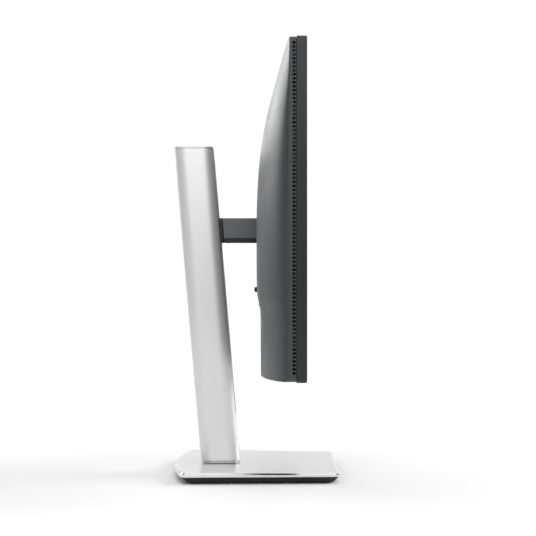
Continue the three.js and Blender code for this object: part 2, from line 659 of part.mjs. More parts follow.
// ---------- front frame and panel ----------
function buildFront() {
  const height = HEAD_TOP - HEAD_BOTTOM;
  const headMiddle = (HEAD_TOP + HEAD_BOTTOM) / 2;
  const panelBottom = HEAD_BOTTOM + CHIN;
  const panelTop = HEAD_TOP - FRAME_RIM - GAP;
  const panelHalf = HEAD_WIDTH / 2 - FRAME_RIM - GAP;
  const outline = roundedRectangle(HEAD_WIDTH, height, FRAME_CORNER);
  const body = prismY(outline, [HEAD_FRONT, FRAME_BACK], [0, headMiddle]);
  const opening = block(
    around(0, panelHalf + GAP),
    [HEAD_FRONT - 5, 0],
    [panelBottom - GAP, panelTop + GAP],
  );
  const chinHollow = block(
    around(0, panelHalf),
    [HEAD_FRONT + 2, 0],
    [HEAD_BOTTOM + FRAME_RIM, panelBottom + 1],
  );
  piece("front_frame", cut(body, opening, chinHollow), "dark");

  const across = (inset) => around(0, panelHalf - inset);
  const up = (inset) => [panelBottom + inset, panelTop - inset];
  const glassBack = HEAD_FRONT + 2;
  piece("lcd_panel", block(across(0), [HEAD_FRONT + 0.5, glassBack], up(0)), "screen");

  const trayWall = 1;
  const trayBack = glassBack + GAP + 4.6;
  const tray = block(across(0.2), [glassBack + GAP, trayBack], up(0.2));
  const inside = 0.2 + trayWall;
  const trayPocket = block(across(inside), [HEAD_FRONT, trayBack - trayWall], up(inside));
  piece("panel_chassis", cut(tray, trayPocket), "zinc");

  const layer = [glassBack + GAP, trayBack - trayWall - GAP];
  const barTop = panelBottom + 5.6;
  const guide = block(across(1.6), layer, [barTop + 0.4, panelTop - 1.6]);
  piece("light_guide", guide, "acrylic");
  piece("led_bar", block(across(4), layer, [panelBottom + 1.6, barTop]), "nylon");
}

// ---------- electronics ----------
function buildElectronics() {
  const bracket = cut(
    block([-118, 118], [-45.9, BRACKET_BACK], [171, 345]),
    block([-117, 117], [-60, BRACKET_BACK - 1], [172, 344]),
  );
  piece("board_bracket", bracket, "zinc");

  const boardFront = BRACKET_BACK + GAP;
  const boardBack = boardFront + BOARD_THICKNESS;
  const board = (x, z) => block(x, [boardFront, boardBack], z);
  const part = (x, height, z) => block(x, [boardBack - 0.1, boardBack + height], z);
  const capacitor = (x, z, radius) => rod("y", radius, [boardBack - 0.1, boardBack + 9], [x, 0, z]);
  const mainBoard = join(
    board([10, 114], [188, 262]),
    part([34, 58], 2.4, [214, 238]), // scaler
    part([70, 84], 1.6, [222, 240]), // USB hub
    part([92, 108], 4, [244, 258]), // panel socket
  );
  piece("main_board", mainBoard, "board");
  const powerBoard = join(
    board([-114, -12], [190, 262]),
    part([-104, -80], 12, [222, 248]), // transformer
    part([-50, -30], 8, [222, 240]), // inductor
    capacitor(-70, 240, 6),
    capacitor(-62, 222, 4.5),
  );
  piece("power_board", powerBoard, "board");
  piece("control_board", block([126, 154], [-17, -15.4], [180, 216]), "board");

  const { x, half, y, z } = INLET;
  const inletBody = cut(
    block(around(x, half), y, z),
    block(around(x, half - 2), [y[0] + 2, y[1] - 2], [0, z[1] - 4]),
  );
  const pins = [
    [-7, 2],
    [7, 2],
    [0, -2],
  ].map(([dx, dy]) =>
    block(around(x + dx, 1), around(middleOf(y) + dy, 2), [z[0] + 7, z[1] - 3.9]),
  );
  piece("power_inlet", join(inletBody, ...pins), "black");

  const lower = BAY_CEILING - 0.6;
  for (const [name, portX, width, depth] of PORTS) {
    const span = [PORT_FRONT, PORT_FRONT + depth];
    const shell = block(around(portX, width / 2), span, [lower, lower + PORT_LENGTH]);
    const cavity = block(
      around(portX, width / 2 - PORT_WALL),
      [span[0] + PORT_WALL, span[1] - PORT_WALL],
      [0, lower + PORT_LENGTH - 3],
    );
    const tongue = block(around(portX, width / 2 - 2.4), around(middleOf(span), 0.8), [
      lower + 2,
      lower + PORT_LENGTH - 2.9,
    ]);
    piece(name, join(cut(shell, cavity), tongue), "zinc");
  }
}

// ---------- controls ----------
function buildControls() {
  const centre = [CONTROL_X, JOYSTICK_PIVOT, JOYSTICK_Z];
  const posts = Object.values(SIDES).map((side) =>
    block(
      around(CONTROL_X + side * 6.3, 0.6),
      [JOYSTICK_PIVOT - 3, JOYSTICK_PIVOT + 1.1],
      around(JOYSTICK_Z, 1.5),
    ),
  );
  const cradle = block(
    around(CONTROL_X, 6.9),
    [-14.7, JOYSTICK_PIVOT - 2.6],
    around(JOYSTICK_Z, 6),
  );
  piece("joystick_cradle", join(cradle, ...posts), "black");

  const halfRing = 0.7;
  const ring = rod("y", GIMBAL_RADIUS, around(JOYSTICK_PIVOT, halfRing), centre);
  const trunnions = rod("x", 0.6, around(CONTROL_X, 5.4), centre, 12);
  const stickHole = rod("y", 3.2, [-20, 0], centre);
  piece("joystick_gimbal", cut(join(ring, trunnions), stickHole), "zinc");

  // A ball at the pivot, a thin stem and a round cap: [radius, height above the pivot].
  const profile = [
    [0, -2.5],
    [1.8, -1.8],
    [2.6, 0],
    [1.8, 1.8],
    [1.5, 2.4],
    [1.5, 4.4],
    [3.05, 4.8],
    [3.05, 9.2],
    [2.2, 10.4],
    [0, 10.7],
  ].map(([r, h]) => new THREE.Vector2(r, h));
  const stick = new THREE.LatheGeometry(profile, 18).translate(...centre);
  piece("joystick_cap", solid(stick), "black");

  // A key's cap, or the wider flange that keeps it behind the cover.
  const key = ({ width, height, corner }, at, span, grow = 0) =>
    prismY(roundedRectangle(width + grow, height + grow, corner + grow / 4), span, at);
  const powerAt = [CONTROL_X, POWER_Z];
  const powerCap = key(POWER_KEY, powerAt, [-10.6, -2.8]);
  const powerFlange = key(POWER_KEY, powerAt, [-11.6, -10.5], 2);
  const stem = rod("y", 1.6, [-14.2, -11.4], [CONTROL_X, 0, POWER_Z], 12);
  piece("power_button", join(powerCap, powerFlange, stem), "black");

  const releaseAt = [0, RELEASE_Z];
  const releaseCap = key(RELEASE_KEY, releaseAt, [-7.6, -3.2]);
  const releaseFlange = key(RELEASE_KEY, releaseAt, [-8.6, -7.5], 4);
  piece("release_button", join(releaseCap, releaseFlange), "black");
}

buildBase();
buildSwivel();
buildColumn();
buildCarriage();
buildArm();
buildTiltHead();
buildMount();
buildRearCover();
buildFront();
buildElectronics();
buildControls();

export default monitor;
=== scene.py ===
"""A computer monitor on a height-adjustable stand: its fine surfaces, materials and studio.

Shape code works in millimetres, in the row frame: +Z up, the screen faces -Y, and the desk is at 0.
"""
import math

import bmesh
import bpy
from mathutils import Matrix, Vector


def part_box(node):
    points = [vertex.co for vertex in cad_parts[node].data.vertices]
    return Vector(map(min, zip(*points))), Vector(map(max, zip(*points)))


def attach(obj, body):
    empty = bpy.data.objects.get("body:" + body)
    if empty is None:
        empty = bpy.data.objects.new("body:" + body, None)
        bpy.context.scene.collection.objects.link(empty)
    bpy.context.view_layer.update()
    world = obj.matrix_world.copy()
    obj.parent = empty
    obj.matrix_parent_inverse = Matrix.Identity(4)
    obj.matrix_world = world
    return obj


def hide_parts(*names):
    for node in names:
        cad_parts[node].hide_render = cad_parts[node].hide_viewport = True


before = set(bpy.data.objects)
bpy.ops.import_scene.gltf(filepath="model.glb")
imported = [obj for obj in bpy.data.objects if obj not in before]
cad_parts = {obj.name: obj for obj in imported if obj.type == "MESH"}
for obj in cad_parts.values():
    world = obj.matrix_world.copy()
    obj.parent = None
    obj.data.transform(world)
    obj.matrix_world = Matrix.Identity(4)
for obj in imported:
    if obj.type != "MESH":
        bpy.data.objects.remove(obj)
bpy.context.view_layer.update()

MM = 0.001


def box_mm(node):
    """Lowest and highest corner of a CAD node, in millimetres."""
    low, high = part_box(node)
    return low / MM, high / MM


def middle(low, high, axes):
    """The middle of a box along each of the axes, such as "xz"."""
    return tuple((getattr(low, axis) + getattr(high, axis)) / 2 for axis in axes)


# ---------- driving dimensions, read from the frame where it has them ----------
HEAD_LOW, HEAD_HIGH = box_mm("front_frame")
COVER_LOW, COVER_HIGH = box_mm("rear_cover")
PANEL_LOW, PANEL_HIGH = box_mm("lcd_panel")
BASE_LOW, BASE_HIGH = box_mm("base_top_shell")
PAN_LOW, PAN_HIGH = box_mm("base_pan")
SHELL_LOW, SHELL_HIGH = box_mm("column_shell")
CAP_TOP = box_mm("column_cap")[1].z
PIN_LOW, PIN_HIGH = box_mm("tilt_pin")
ARM_Z = (PIN_LOW.z + PIN_HIGH.z) / 2
ARM_LOW, ARM_HIGH = box_mm("arm_cover_upper")
ARM_FLOOR = box_mm("arm_cover_lower")[0].z
ARM_SEAM = ARM_LOW.z
ARM_WALL = 2.0
ARM_CORNER = 3.5
FLANGE_WIDTH = 52
FLANGE_HEIGHT = 27.8
FLANGE_REACH = 3.6  # from the column's face to the flange's far side
PLATE_FACE = box_mm("mount_cover")[1].y
MOUNT_WIDTH = 118.8  # of the square surround
MOUNT_WALL = 1.8
COVER_FACE_WALL = 2  # how thick the surround's and the hinge cover's faces are
HINGE_RADIUS = box_mm("hinge_cap")[1].x
HINGE_OPENING = 48  # radius of the surround's opening for the hinge cover
HINGE_WINDOW = (52, 33.6)  # the hinge cover's opening for the arm
HINGE_WINDOW_RISE = 1.2
MOUNT_FRONT = -14
HINGE_FRONT = -14.5
RECESS_HALF = 60
RECESS_CORNER = 8
RECESS_FLOOR = -22

GAP = 0.3  # between pieces that meet
FRAME_CORNER = 4
COVER_WALL = 2.4
CREASE = -35.4  # where the cover's side wall turns into its dome
DOME_RUN = 137  # from the cover's side edge to the flat of the dome
ARCH_START = 395  # above this height the dome's flat gives way to an arch across the width
DOME_PROFILE = [  # the dome's depth behind the crease: (height, depth)
    (117, 29.0), (150, 29.3), (187, 29.8), (205, 33.0), (250, 33.7), (297, 33.5), (335, 31.6),
    (356, 29.4), (376, 26.4), (396, 22.6), (418, 19.0), (440, 14.0), (452, 10.8), (465, 7.3),
]
SHOULDER_POWER = 0.6  # the lower, the squarer the dome's shoulders
ARCH_POWER = 0.85
ARCH_ONSET_POWER = 1.3  # the higher, the later the arch sets in
BAY_HALF = 100
BAY_CEILING = 165
BAY_FLOOR = -33
BAY_NODES = ("hdmi_port", "displayport_port", "usb_upstream_port", "usb_device_port", "power_inlet")
VENT_PITCH = 3.98
VENT_LOW = 127.3
VENT_COUNT = 84
VENT_Y = -40.1
VENT_WIDTH = 3.0
VENT_HEIGHT = 2.7
GROOVE_DEPTH = 0.35  # of the band that the vents lie in
STICK_OPENING = 4.6  # radius
POWER_KEY = (14, 11)
POWER_CORNER = 5.4
RELEASE_KEY = (24, 8)
RELEASE_CORNER = 1.8

LEAN = math.radians(4.9)  # the column leans back
COLUMN_WIDTH = SHELL_HIGH.x - SHELL_LOW.x
COLUMN_DEPTH = 43.4
COLUMN_CORNER = (9, 14)  # how far its round corners reach across it and along its depth
COLUMN_WALL = 2.5
COLUMN_FLOOR = 4
COLUMN_MID_Y = 55.7  # the column's centre line passes here ...
COLUMN_MID_Z = 200  # ... at this height
SLOT_LOW, SLOT_HIGH = box_mm("slot_trim")
SLOT_WIDTH = 36
SLOT_CORNER = 4
SLOT_MARGIN = 7.7  # how much taller than the slot the box round its trim is
CABLE_HOLE_WIDTH = 26
CABLE_HOLE_HEIGHT = 40
CABLE_HOLE_Z = 82
RING_WALL = 1.6  # of the ring that lines the hole
RING_INSET = 0.2  # the hole's ring lies this far below the column's surface
BASE_SLOPE = 0.0099  # rise of the base's top towards the rear
BASE_TOP = 11.9  # its height at mid depth
BASE_FRONT_HALF = 121
BASE_REAR_HALF = 128.5
BASE_CORNER = 6
BASE_SIDE_END = 74  # where the straight sides end
BASE_REAR_CORNER = (8, 10)
BASE_WALL = 1.8
BASE_CHAMFER = 1.9
CHAMFER_NORMALS = (0.4, 0.95)  # between these upward shares, a face belongs to the chamfer
PAN_HOLLOW_INSET = 11
PAN_FLOOR = 1.2
KNOB_OPENING = 13.5  # radius of the pan's opening for the thumb screw
SWIVEL_RADIUS = 20
PLINTH_INSET = 2  # of the plate that the column stands on
SCREW_RADIUS = 4
KNOB_TOP = 3.9
KNURL_STEPS = 144
KNURL_DEPTH = 0.45


# ---------- mesh tools ----------
SHARP_ANGLE = 32


def column_y(z):
    return COLUMN_MID_Y + (z - COLUMN_MID_Z) * math.tan(LEAN)


def upward(u, v, w):
    """An outline in plan, built up along +Z."""
    return (u, v, w)


def rearward(u, v, w):
    """An outline as seen from the front, built back along +Y."""
    return (u, w, v)


def up_column(u, v, w):
    """An outline across the column, cut level at height w."""
    return (u, column_y(w) + v / math.cos(LEAN), w)


def through_column(u, v, w):
    """An outline seen from the front, built along the leaning column's depth."""
    along = (v - COLUMN_MID_Z) / math.cos(LEAN)
    y = COLUMN_MID_Y + w * math.cos(LEAN) + along * math.sin(LEAN)
    return (u, y, COLUMN_MID_Z - w * math.sin(LEAN) + along * math.cos(LEAN))


def mesh_object(name, points, faces):
    """A mesh from points in millimetres, facing outwards and smooth."""
    mesh = bpy.data.meshes.new(name)
    mesh.from_pydata([Vector(p) * MM for p in points], [], faces)
    made = bpy.data.objects.new(name, mesh)
    bpy.context.scene.collection.objects.link(made)
    form = bmesh.new()
    form.from_mesh(mesh)
    bmesh.ops.recalc_face_normals(form, faces=form.faces)
    form.to_mesh(mesh)
    form.free()
    shade(made)
    return made


def shade(piece):
    """Smooth shading that keeps the edges between faces over SHARP_ANGLE apart."""
    piece.data.shade_smooth()
    piece.data.set_sharp_from_angle(angle=math.radians(SHARP_ANGLE))


def loft(name, rings, loop=False):
    """A closed mesh through rings of equally many points. Its ends are filled, or meet in a loop."""
    count = len(rings[0])
    points = [p for ring in rings for p in ring]
    faces = []
    for r in range(len(rings) if loop else len(rings) - 1):
        here, there = r * count, (r + 1) % len(rings) * count
        for i in range(count):
            j = (i + 1) % count
            faces.append((here + i, here + j, there + j, there + i))
    if not loop:
        faces.append(tuple(reversed(range(count))))
        faces.append(tuple(range(len(points) - count, len(points))))
    return mesh_object(name, points, faces)


def round_edge(radius, steps=4):
    """(inset, drop) pairs that round an edge, from the side up to the face."""
    if radius == 0:
        return [(0, 0)]
    turns = [math.pi / 2 * i / steps for i in range(steps + 1)]
    return [(radius * (1 - math.cos(a)), radius * (1 - math.sin(a))) for a in turns]


def levels(low, high, low_round, high_round, steps=4):
    """(inset, level) pairs up the side of a slab with rounded lower and upper edges."""
    start = [(inset, low + drop) for inset, drop in reversed(round_edge(low_round, steps))]
    return start + [(inset, high - drop) for inset, drop in round_edge(high_round, steps)]


def slab(name, outline, low, high, place, low_round=0.0, high_round=0.0, steps=4):
    """A solid slab: outline(inset) gives its edge, and place puts each point in the frame."""
    rings = [
        [place(u, v, w) for u, v in outline(inset)]
        for inset, w in levels(low, high, low_round, high_round, steps)
    ]
    return loft(name, rings)


def collar(name, outer, inner, low, high, place, rounds=(0.4, 0.4), steps=3):
    """A ring-shaped slab between an outer and an inner outline with as many points."""
    side = levels(low, high, *rounds, steps)
    rings = [[place(u, v, w) for u, v in outer(inset)] for inset, w in side]
    rings += [[place(u, v, w) for u, v in inner(-inset)] for inset, w in reversed(side)]
    return loft(name, rings, loop=True)


def rounded_rectangle(width, height, radius, centre=(0, 0), steps=8, rise=None):
    """outline(inset) of a rectangle whose corners are round, or elliptical with their own rise."""

    def outline(inset=0.0):
        across = max(radius - inset, 0.05)
        up = across if rise is None else max(rise - inset, 0.05)
        points = []
        for quarter, (sx, sy) in enumerate([(1, -1), (1, 1), (-1, 1), (-1, -1)]):
            cx = centre[0] + sx * (width / 2 - inset - across)
            cy = centre[1] + sy * (height / 2 - inset - up)
            for i in range(steps + 1):
                a = math.pi / 2 * (quarter - 1 + i / steps)
                points.append((cx + across * math.cos(a), cy + up * math.sin(a)))
        return points

    return outline


def circle(radius, centre=(0, 0), steps=48):
    """outline(inset) of a circle."""

    def outline(inset=0.0):
        turns = [2 * math.pi * i / steps for i in range(steps)]
        r = radius - inset
        return [(centre[0] + r * math.cos(a), centre[1] + r * math.sin(a)) for a in turns]

    return outline


def turned(name, profile, centre, steps=40, flutes=0, flute_depth=0.0):
    """A body turned about Y through centre, from (radius, y) pairs, with flutes down its side."""
    rings = []
    for radius, y in profile:
        ring = []
        for i in range(steps):
            a = 2 * math.pi * i / steps
            r = radius - flute_depth * (radius > 1) * max(0, math.cos(flutes * a)) * bool(flutes)
            ring.append((centre[0] + r * math.cos(a), centre[1] + y, centre[2] + r * math.sin(a)))
        rings.append(ring)
    return loft(name, rings)


def bake(piece):
    """Applies a piece's modifiers to its mesh."""
    bpy.context.view_layer.update()
    graph = bpy.context.evaluated_depsgraph_get()
    mesh = bpy.data.meshes.new_from_object(piece.evaluated_get(graph))
    piece.modifiers.clear()
    piece.data = mesh


def boolean(piece, operation, *tools):
    """Applies the tools to a piece one after another, and removes them."""
    for tool in tools:
        change = piece.modifiers.new("boolean", "BOOLEAN")
        change.operation = operation
        change.solver = "MANIFOLD"
        change.object = tool
    bake(piece)
    for tool in tools:
        bpy.data.objects.remove(tool)
    shade(piece)
    return piece


def cut(piece, *tools):
    return boolean(piece, "DIFFERENCE", *tools)


def join(piece, *others):
    return boolean(piece, "UNION", *others)


def add_bevel(piece, width, angle):
    """Rounds the edges between faces over an angle apart, when it is applied."""
    bevel = piece.modifiers.new("edges", "BEVEL")
    bevel.width = width * MM
    bevel.segments = 2
    bevel.limit_method = "ANGLE"
    bevel.angle_limit = math.radians(angle)
    bevel.use_clamp_overlap = True


def soften(piece, width, angle):
    """Rounds a piece's sharp edges."""
    add_bevel(piece, width, angle)
    bake(piece)
    shade(piece)
    return piece


def block(x, y, z, name="tool"):
    """A plain box between two corners, used for cutting and joining."""
    corners = [(x[0], y[0]), (x[1], y[0]), (x[1], y[1]), (x[0], y[1])]
    return loft(name, [[(u, v, w) for u, v in corners] for w in z])


# ---------- material tools ----------
def add(tree, kind, inputs=None, **settings):
    """A node with its settings, and its inputs set or linked."""
    made = tree.nodes.new(kind)
    for key, value in settings.items():
        setattr(made, key, value)
    for key, value in (inputs or {}).items():
        if isinstance(value, bpy.types.NodeSocket):
            tree.links.new(value, made.inputs[key])
        else:
            made.inputs[key].default_value = value
    return made


def linear(level):
    """One sRGB channel, 0 to 255, as linear light."""
    s = level / 255
    return s / 12.92 if s <= 0.04045 else ((s + 0.055) / 1.055) ** 2.4


def colour(r, g, b):
    """An sRGB colour, 0 to 255, as linear light."""
    return (linear(r), linear(g), linear(b), 1.0)


def noise(tree, scale, detail=2.0, stretch=(1, 1, 1), roughness=0.5):
    """Noise in the row frame, with its scale in features per metre."""
    place = add(tree, "ShaderNodeTexCoord").outputs["Object"]
    mapped = add(tree, "ShaderNodeMapping", {"Vector": place, "Scale": stretch})
    return add(tree, "ShaderNodeTexNoise", {
        "Vector": mapped.outputs["Vector"], "Scale": scale, "Detail": detail,
        "Roughness": roughness,
    }).outputs["Fac"]


def spread(tree, value, low, high):
    """Maps the middle of a noise's range to low ... high."""
    return add(tree, "ShaderNodeMapRange", {
        "Value": value, "From Min": 0.3, "From Max": 0.7, "To Min": low, "To Max": high,
    }).outputs["Result"]


def varied(tree, base, fac, amount):
    """The base colour made darker and lighter by an amount where fac is low and high."""
    share = spread(tree, fac, 1 - amount, 1 + amount)
    scaled = add(tree, "ShaderNodeVectorMath", operation="SCALE")
    if isinstance(base, bpy.types.NodeSocket):
        tree.links.new(base, scaled.inputs[0])
    else:
        scaled.inputs[0].default_value = base[:3]
    tree.links.new(share, scaled.inputs["Scale"])
    return scaled.outputs["Vector"]


def bumped(tree, height, depth, edge=0.0, strength=1.0):
    """A bumped normal, depth in millimetres, on top of edges rounded by a radius."""
    inputs = {"Height": height, "Distance": depth * MM, "Strength": strength}
    if edge:
        inputs["Normal"] = add(tree, "ShaderNodeBevel", {"Radius": edge * MM}, samples=4).outputs[0]
    return add(tree, "ShaderNodeBump", inputs).outputs["Normal"]


def worn_edges(tree, radius):
    """1 along edges, 0 elsewhere: where the rounded normal leaves the face's own."""
    rounded = add(tree, "ShaderNodeBevel", {"Radius": radius * MM}, samples=4).outputs[0]
    own = add(tree, "ShaderNodeNewGeometry").outputs["Normal"]
    dot = add(tree, "ShaderNodeVectorMath", {0: rounded, 1: own}, operation="DOT_PRODUCT")
    return add(tree, "ShaderNodeMapRange", {
        "Value": dot.outputs["Value"], "From Min": 0.97, "From Max": 0.8, "To Min": 0.0,
        "To Max": 1.0,
    }).outputs["Result"]


def mix(tree, fac, a, b):
    """A colour between a and b."""
    made = add(tree, "ShaderNodeMix", data_type="RGBA")
    for socket, value in ((made.inputs[0], fac), (made.inputs[6], a), (made.inputs[7], b)):
        if isinstance(value, bpy.types.NodeSocket):
            tree.links.new(value, socket)
        else:
            socket.default_value = value
    return made.outputs[2]


def new_material(name):
    """A material, its node tree and its shader."""
    made = bpy.data.materials.new(name)
    made.use_nodes = True
    return made, made.node_tree, made.node_tree.nodes["Principled BSDF"]


def set_inputs(tree, shader, **values):
    """Sets or links a shader's inputs, named with _ for each space."""
    for key, value in values.items():
        socket = shader.inputs[key.replace("_", " ")]
        if isinstance(value, bpy.types.NodeSocket):
            tree.links.new(value, socket)
        else:
            socket.default_value = value


def moulded(name, base, roughness, grain=0.45, depth=0.02, edge=0.35, specular=0.5):
    """Moulded plastic: a fine spark-eroded grain, faint flow mottling, and paler rubbed edges."""
    made, tree, shader = new_material(name)
    fine = noise(tree, 1000 / grain, detail=3)
    broad = noise(tree, 22, detail=4)
    body = varied(tree, base, broad, 0.05)
    speckled = varied(tree, body, noise(tree, 420, detail=2), 0.05)
    rubbed = tuple(min(1, c * 1.5 + 0.012) for c in base[:3]) + (1.0,)
    wear = add(tree, "ShaderNodeMath", {0: worn_edges(tree, edge * 1.6), 1: 0.45},
               operation="MULTIPLY").outputs[0]
    set_inputs(
        tree, shader,
        Base_Color=mix(tree, wear, speckled, rubbed),
        Roughness=spread(tree, broad, roughness - 0.04, roughness + 0.04),
        Specular_IOR_Level=specular,
        Normal=bumped(tree, fine, depth, edge),
    )
    return made


def satin_metal(name, base, roughness, metallic, flake=0.35, edge=0.3):
    """Metal or metallic paint: fine flake in colour and gloss, and a faint cast unevenness."""
    made, tree, shader = new_material(name)
    flakes = noise(tree, 1000 / flake, detail=2)
    broad = noise(tree, 14, detail=3)
    body = varied(tree, varied(tree, base, flakes, 0.06), broad, 0.015)
    set_inputs(
        tree, shader,
        Base_Color=body,
        Metallic=metallic,
        Roughness=spread(tree, flakes, roughness - 0.05, roughness + 0.05),
        Normal=bumped(tree, broad, 0.05, edge, strength=0.4),
    )
    return made


def brushed(name, base, roughness, stretch):
    """Bare metal with drawn or ground lines that run along the squeezed axes."""
    made, tree, shader = new_material(name)
    lines = noise(tree, 900, detail=3, stretch=stretch)
    stains = noise(tree, 35, detail=4)
    set_inputs(
        tree, shader,
        Base_Color=varied(tree, varied(tree, base, lines, 0.08), stains, 0.06),
        Metallic=0.95,
        Roughness=spread(tree, lines, roughness - 0.08, roughness + 0.08),
        Normal=bumped(tree, lines, 0.01, 0.2),
    )
    return made


def circuit_board(name):
    """Green solder resist over copper tracks, with solder pads."""
    made, tree, shader = new_material(name)
    place = add(tree, "ShaderNodeTexCoord").outputs["Object"]
    flat = add(tree, "ShaderNodeMapping", {"Vector": place, "Rotation": (math.pi / 2, 0, 0)})
    tracks = add(tree, "ShaderNodeTexBrick", {
        "Vector": flat.outputs["Vector"], "Color1": (0, 0, 0, 1), "Color2": (0, 0, 0, 1),
        "Mortar": (1, 1, 1, 1), "Scale": 90.0, "Mortar Size": 0.06, "Brick Width": 0.9,
        "Row Height": 0.25,
    }).outputs["Color"]
    cells = add(tree, "ShaderNodeTexVoronoi", {"Vector": place, "Scale": 210.0})
    pads = add(tree, "ShaderNodeMath", {0: cells.outputs["Distance"], 1: 0.16},
               operation="LESS_THAN").outputs[0]
    resist = mix(tree, tracks, colour(28, 78, 52), colour(52, 118, 74))
    set_inputs(
        tree, shader,
        Base_Color=mix(tree, pads, resist, colour(196, 190, 170)),
        Metallic=pads,
        Roughness=spread(tree, noise(tree, 300), 0.3, 0.45),
        Normal=bumped(tree, tracks, 0.04),
    )
    return made


def screen_glass(name, low, high, border):
    """An unlit LCD with an anti-glare finish: a charcoal active area inside a black border."""
    made, tree, shader = new_material(name)
    place = add(tree, "ShaderNodeTexCoord").outputs["Object"]
    axes = add(tree, "ShaderNodeSeparateXYZ", {"Vector": place})

    def inside(axis, a, b):
        above = add(tree, "ShaderNodeMath", {0: axes.outputs[axis], 1: a * MM},
                    operation="GREATER_THAN").outputs[0]
        below = add(tree, "ShaderNodeMath", {0: axes.outputs[axis], 1: b * MM},
                    operation="LESS_THAN").outputs[0]
        return add(tree, "ShaderNodeMath", {0: above, 1: below}, operation="MULTIPLY").outputs[0]

    across = inside("X", low.x + border, high.x - border)
    up = inside("Z", low.z + border, high.z - border)
    active = add(tree, "ShaderNodeMath", {0: across, 1: up}, operation="MULTIPLY").outputs[0]
    etch = noise(tree, 5200, detail=1)
    shown = mix(tree, active, colour(9, 9, 10), colour(16, 17, 20))
    set_inputs(
        tree, shader,
        Base_Color=varied(tree, shown, noise(tree, 9, detail=2), 0.04),
        Roughness=spread(tree, etch, 0.22, 0.3),
        Specular_IOR_Level=0.4,
        Normal=bumped(tree, etch, 0.004),
    )
    return made


# ---------- materials ----------
PLASTIC = moulded("dark_plastic", colour(57, 59, 63), 0.38)
FRAME_PLASTIC = moulded("frame_plastic", colour(22, 23, 24), 0.36, edge=0.3)
ARM_PLASTIC = moulded("arm_plastic", colour(102, 103, 105), 0.5)
BLACK = moulded("black_plastic", colour(30, 31, 32), 0.5, edge=0.25)
RUBBER = moulded("rubber", colour(20, 20, 21), 0.8, grain=0.8, depth=0.05, edge=0.4, specular=0.3)
NYLON = moulded("nylon", colour(214, 212, 203), 0.45, depth=0.01, edge=0.2)
ACRYLIC = moulded("acrylic", colour(228, 232, 236), 0.15, grain=1.2, depth=0.004, edge=0.2)
SILVER = satin_metal("silver_paint", colour(232, 232, 232), 0.44, 0.6)
BASE_SILVER = satin_metal("base_paint", colour(230, 230, 230), 0.30, 0.7)
EDGE_SILVER = satin_metal("cut_edge", colour(206, 206, 207), 0.16, 1.0, flake=0.4, edge=0.1)
# a darker copy of the silver paint: painted shade for the shadow under the column's foot
PLINTH_SILVER_PAINTED_SHADE = satin_metal("plinth_paint_painted_shade", colour(206, 206, 207), 0.4, 0.6)
ZINC = satin_metal("zinc", colour(172, 174, 178), 0.42, 0.9, flake=2.5)
STEEL = brushed("steel", colour(158, 160, 163), 0.34, (0.03, 1, 1))
STEEL_UPRIGHT = brushed("steel_upright", colour(150, 152, 156), 0.32, (1, 1, 0.03))
CONTACT = satin_metal("contact_gold", (0.78, 0.56, 0.24, 1.0), 0.3, 1.0, flake=0.5, edge=0.1)
BOARD = circuit_board("circuit_board")
SCREEN = screen_glass("screen", PANEL_LOW, PANEL_HIGH, 4.5)


def fit(piece, body, slot, look, *nodes):
    """Gives a piece its material and body, and says which CAD nodes it stands for; the slot is not
    used.
    """
    piece.data.materials.clear()
    piece.data.materials.append(look)
    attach(piece, body)
    if nodes:
        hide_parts(*nodes)
    return piece


# ---------- base ----------
def bezier(a, b, c, steps):
    """A quadratic curve from a to c, without its last point."""
    ts = [i / steps for i in range(steps)]
    return [
        tuple((1 - t) ** 2 * a[k] + 2 * t * (1 - t) * b[k] + t * t * c[k] for k in (0, 1))
        for t in ts
    ]


def base_outline(inset=0.0):
    """The base in plan: a little wider at the rear, where the edge bows out."""
    front = BASE_LOW.y + inset
    f = BASE_FRONT_HALF - inset
    r = BASE_REAR_HALF - inset
    bow = BASE_HIGH.y - inset
    corner = max(BASE_CORNER - inset, 1)
    side_end = BASE_SIDE_END - inset
    across, along = BASE_REAR_CORNER
    fall = 2 * along * across / (r - across)
    points = bezier((f - corner, front), (f, front), (f, front + corner), 6)
    points += bezier((f, front + corner), ((f + r) / 2, 0), (r, side_end), 4)
    points += bezier((r, side_end), (r, bow - along - fall), (r - across, bow - along), 10)
    points += bezier((r - across, bow - along), (0, bow + along), (across - r, bow - along), 32)
    points += bezier((across - r, bow - along), (-r, bow - along - fall), (-r, side_end), 10)
    points += bezier((-r, side_end), (-(f + r) / 2, 0), (-f, front + corner), 4)
    points += bezier((-f, front + corner), (-f, front), (-f + corner, front), 6)
    points += bezier((-f + corner, front), (0, front), (f - corner, front), 8)
    return points


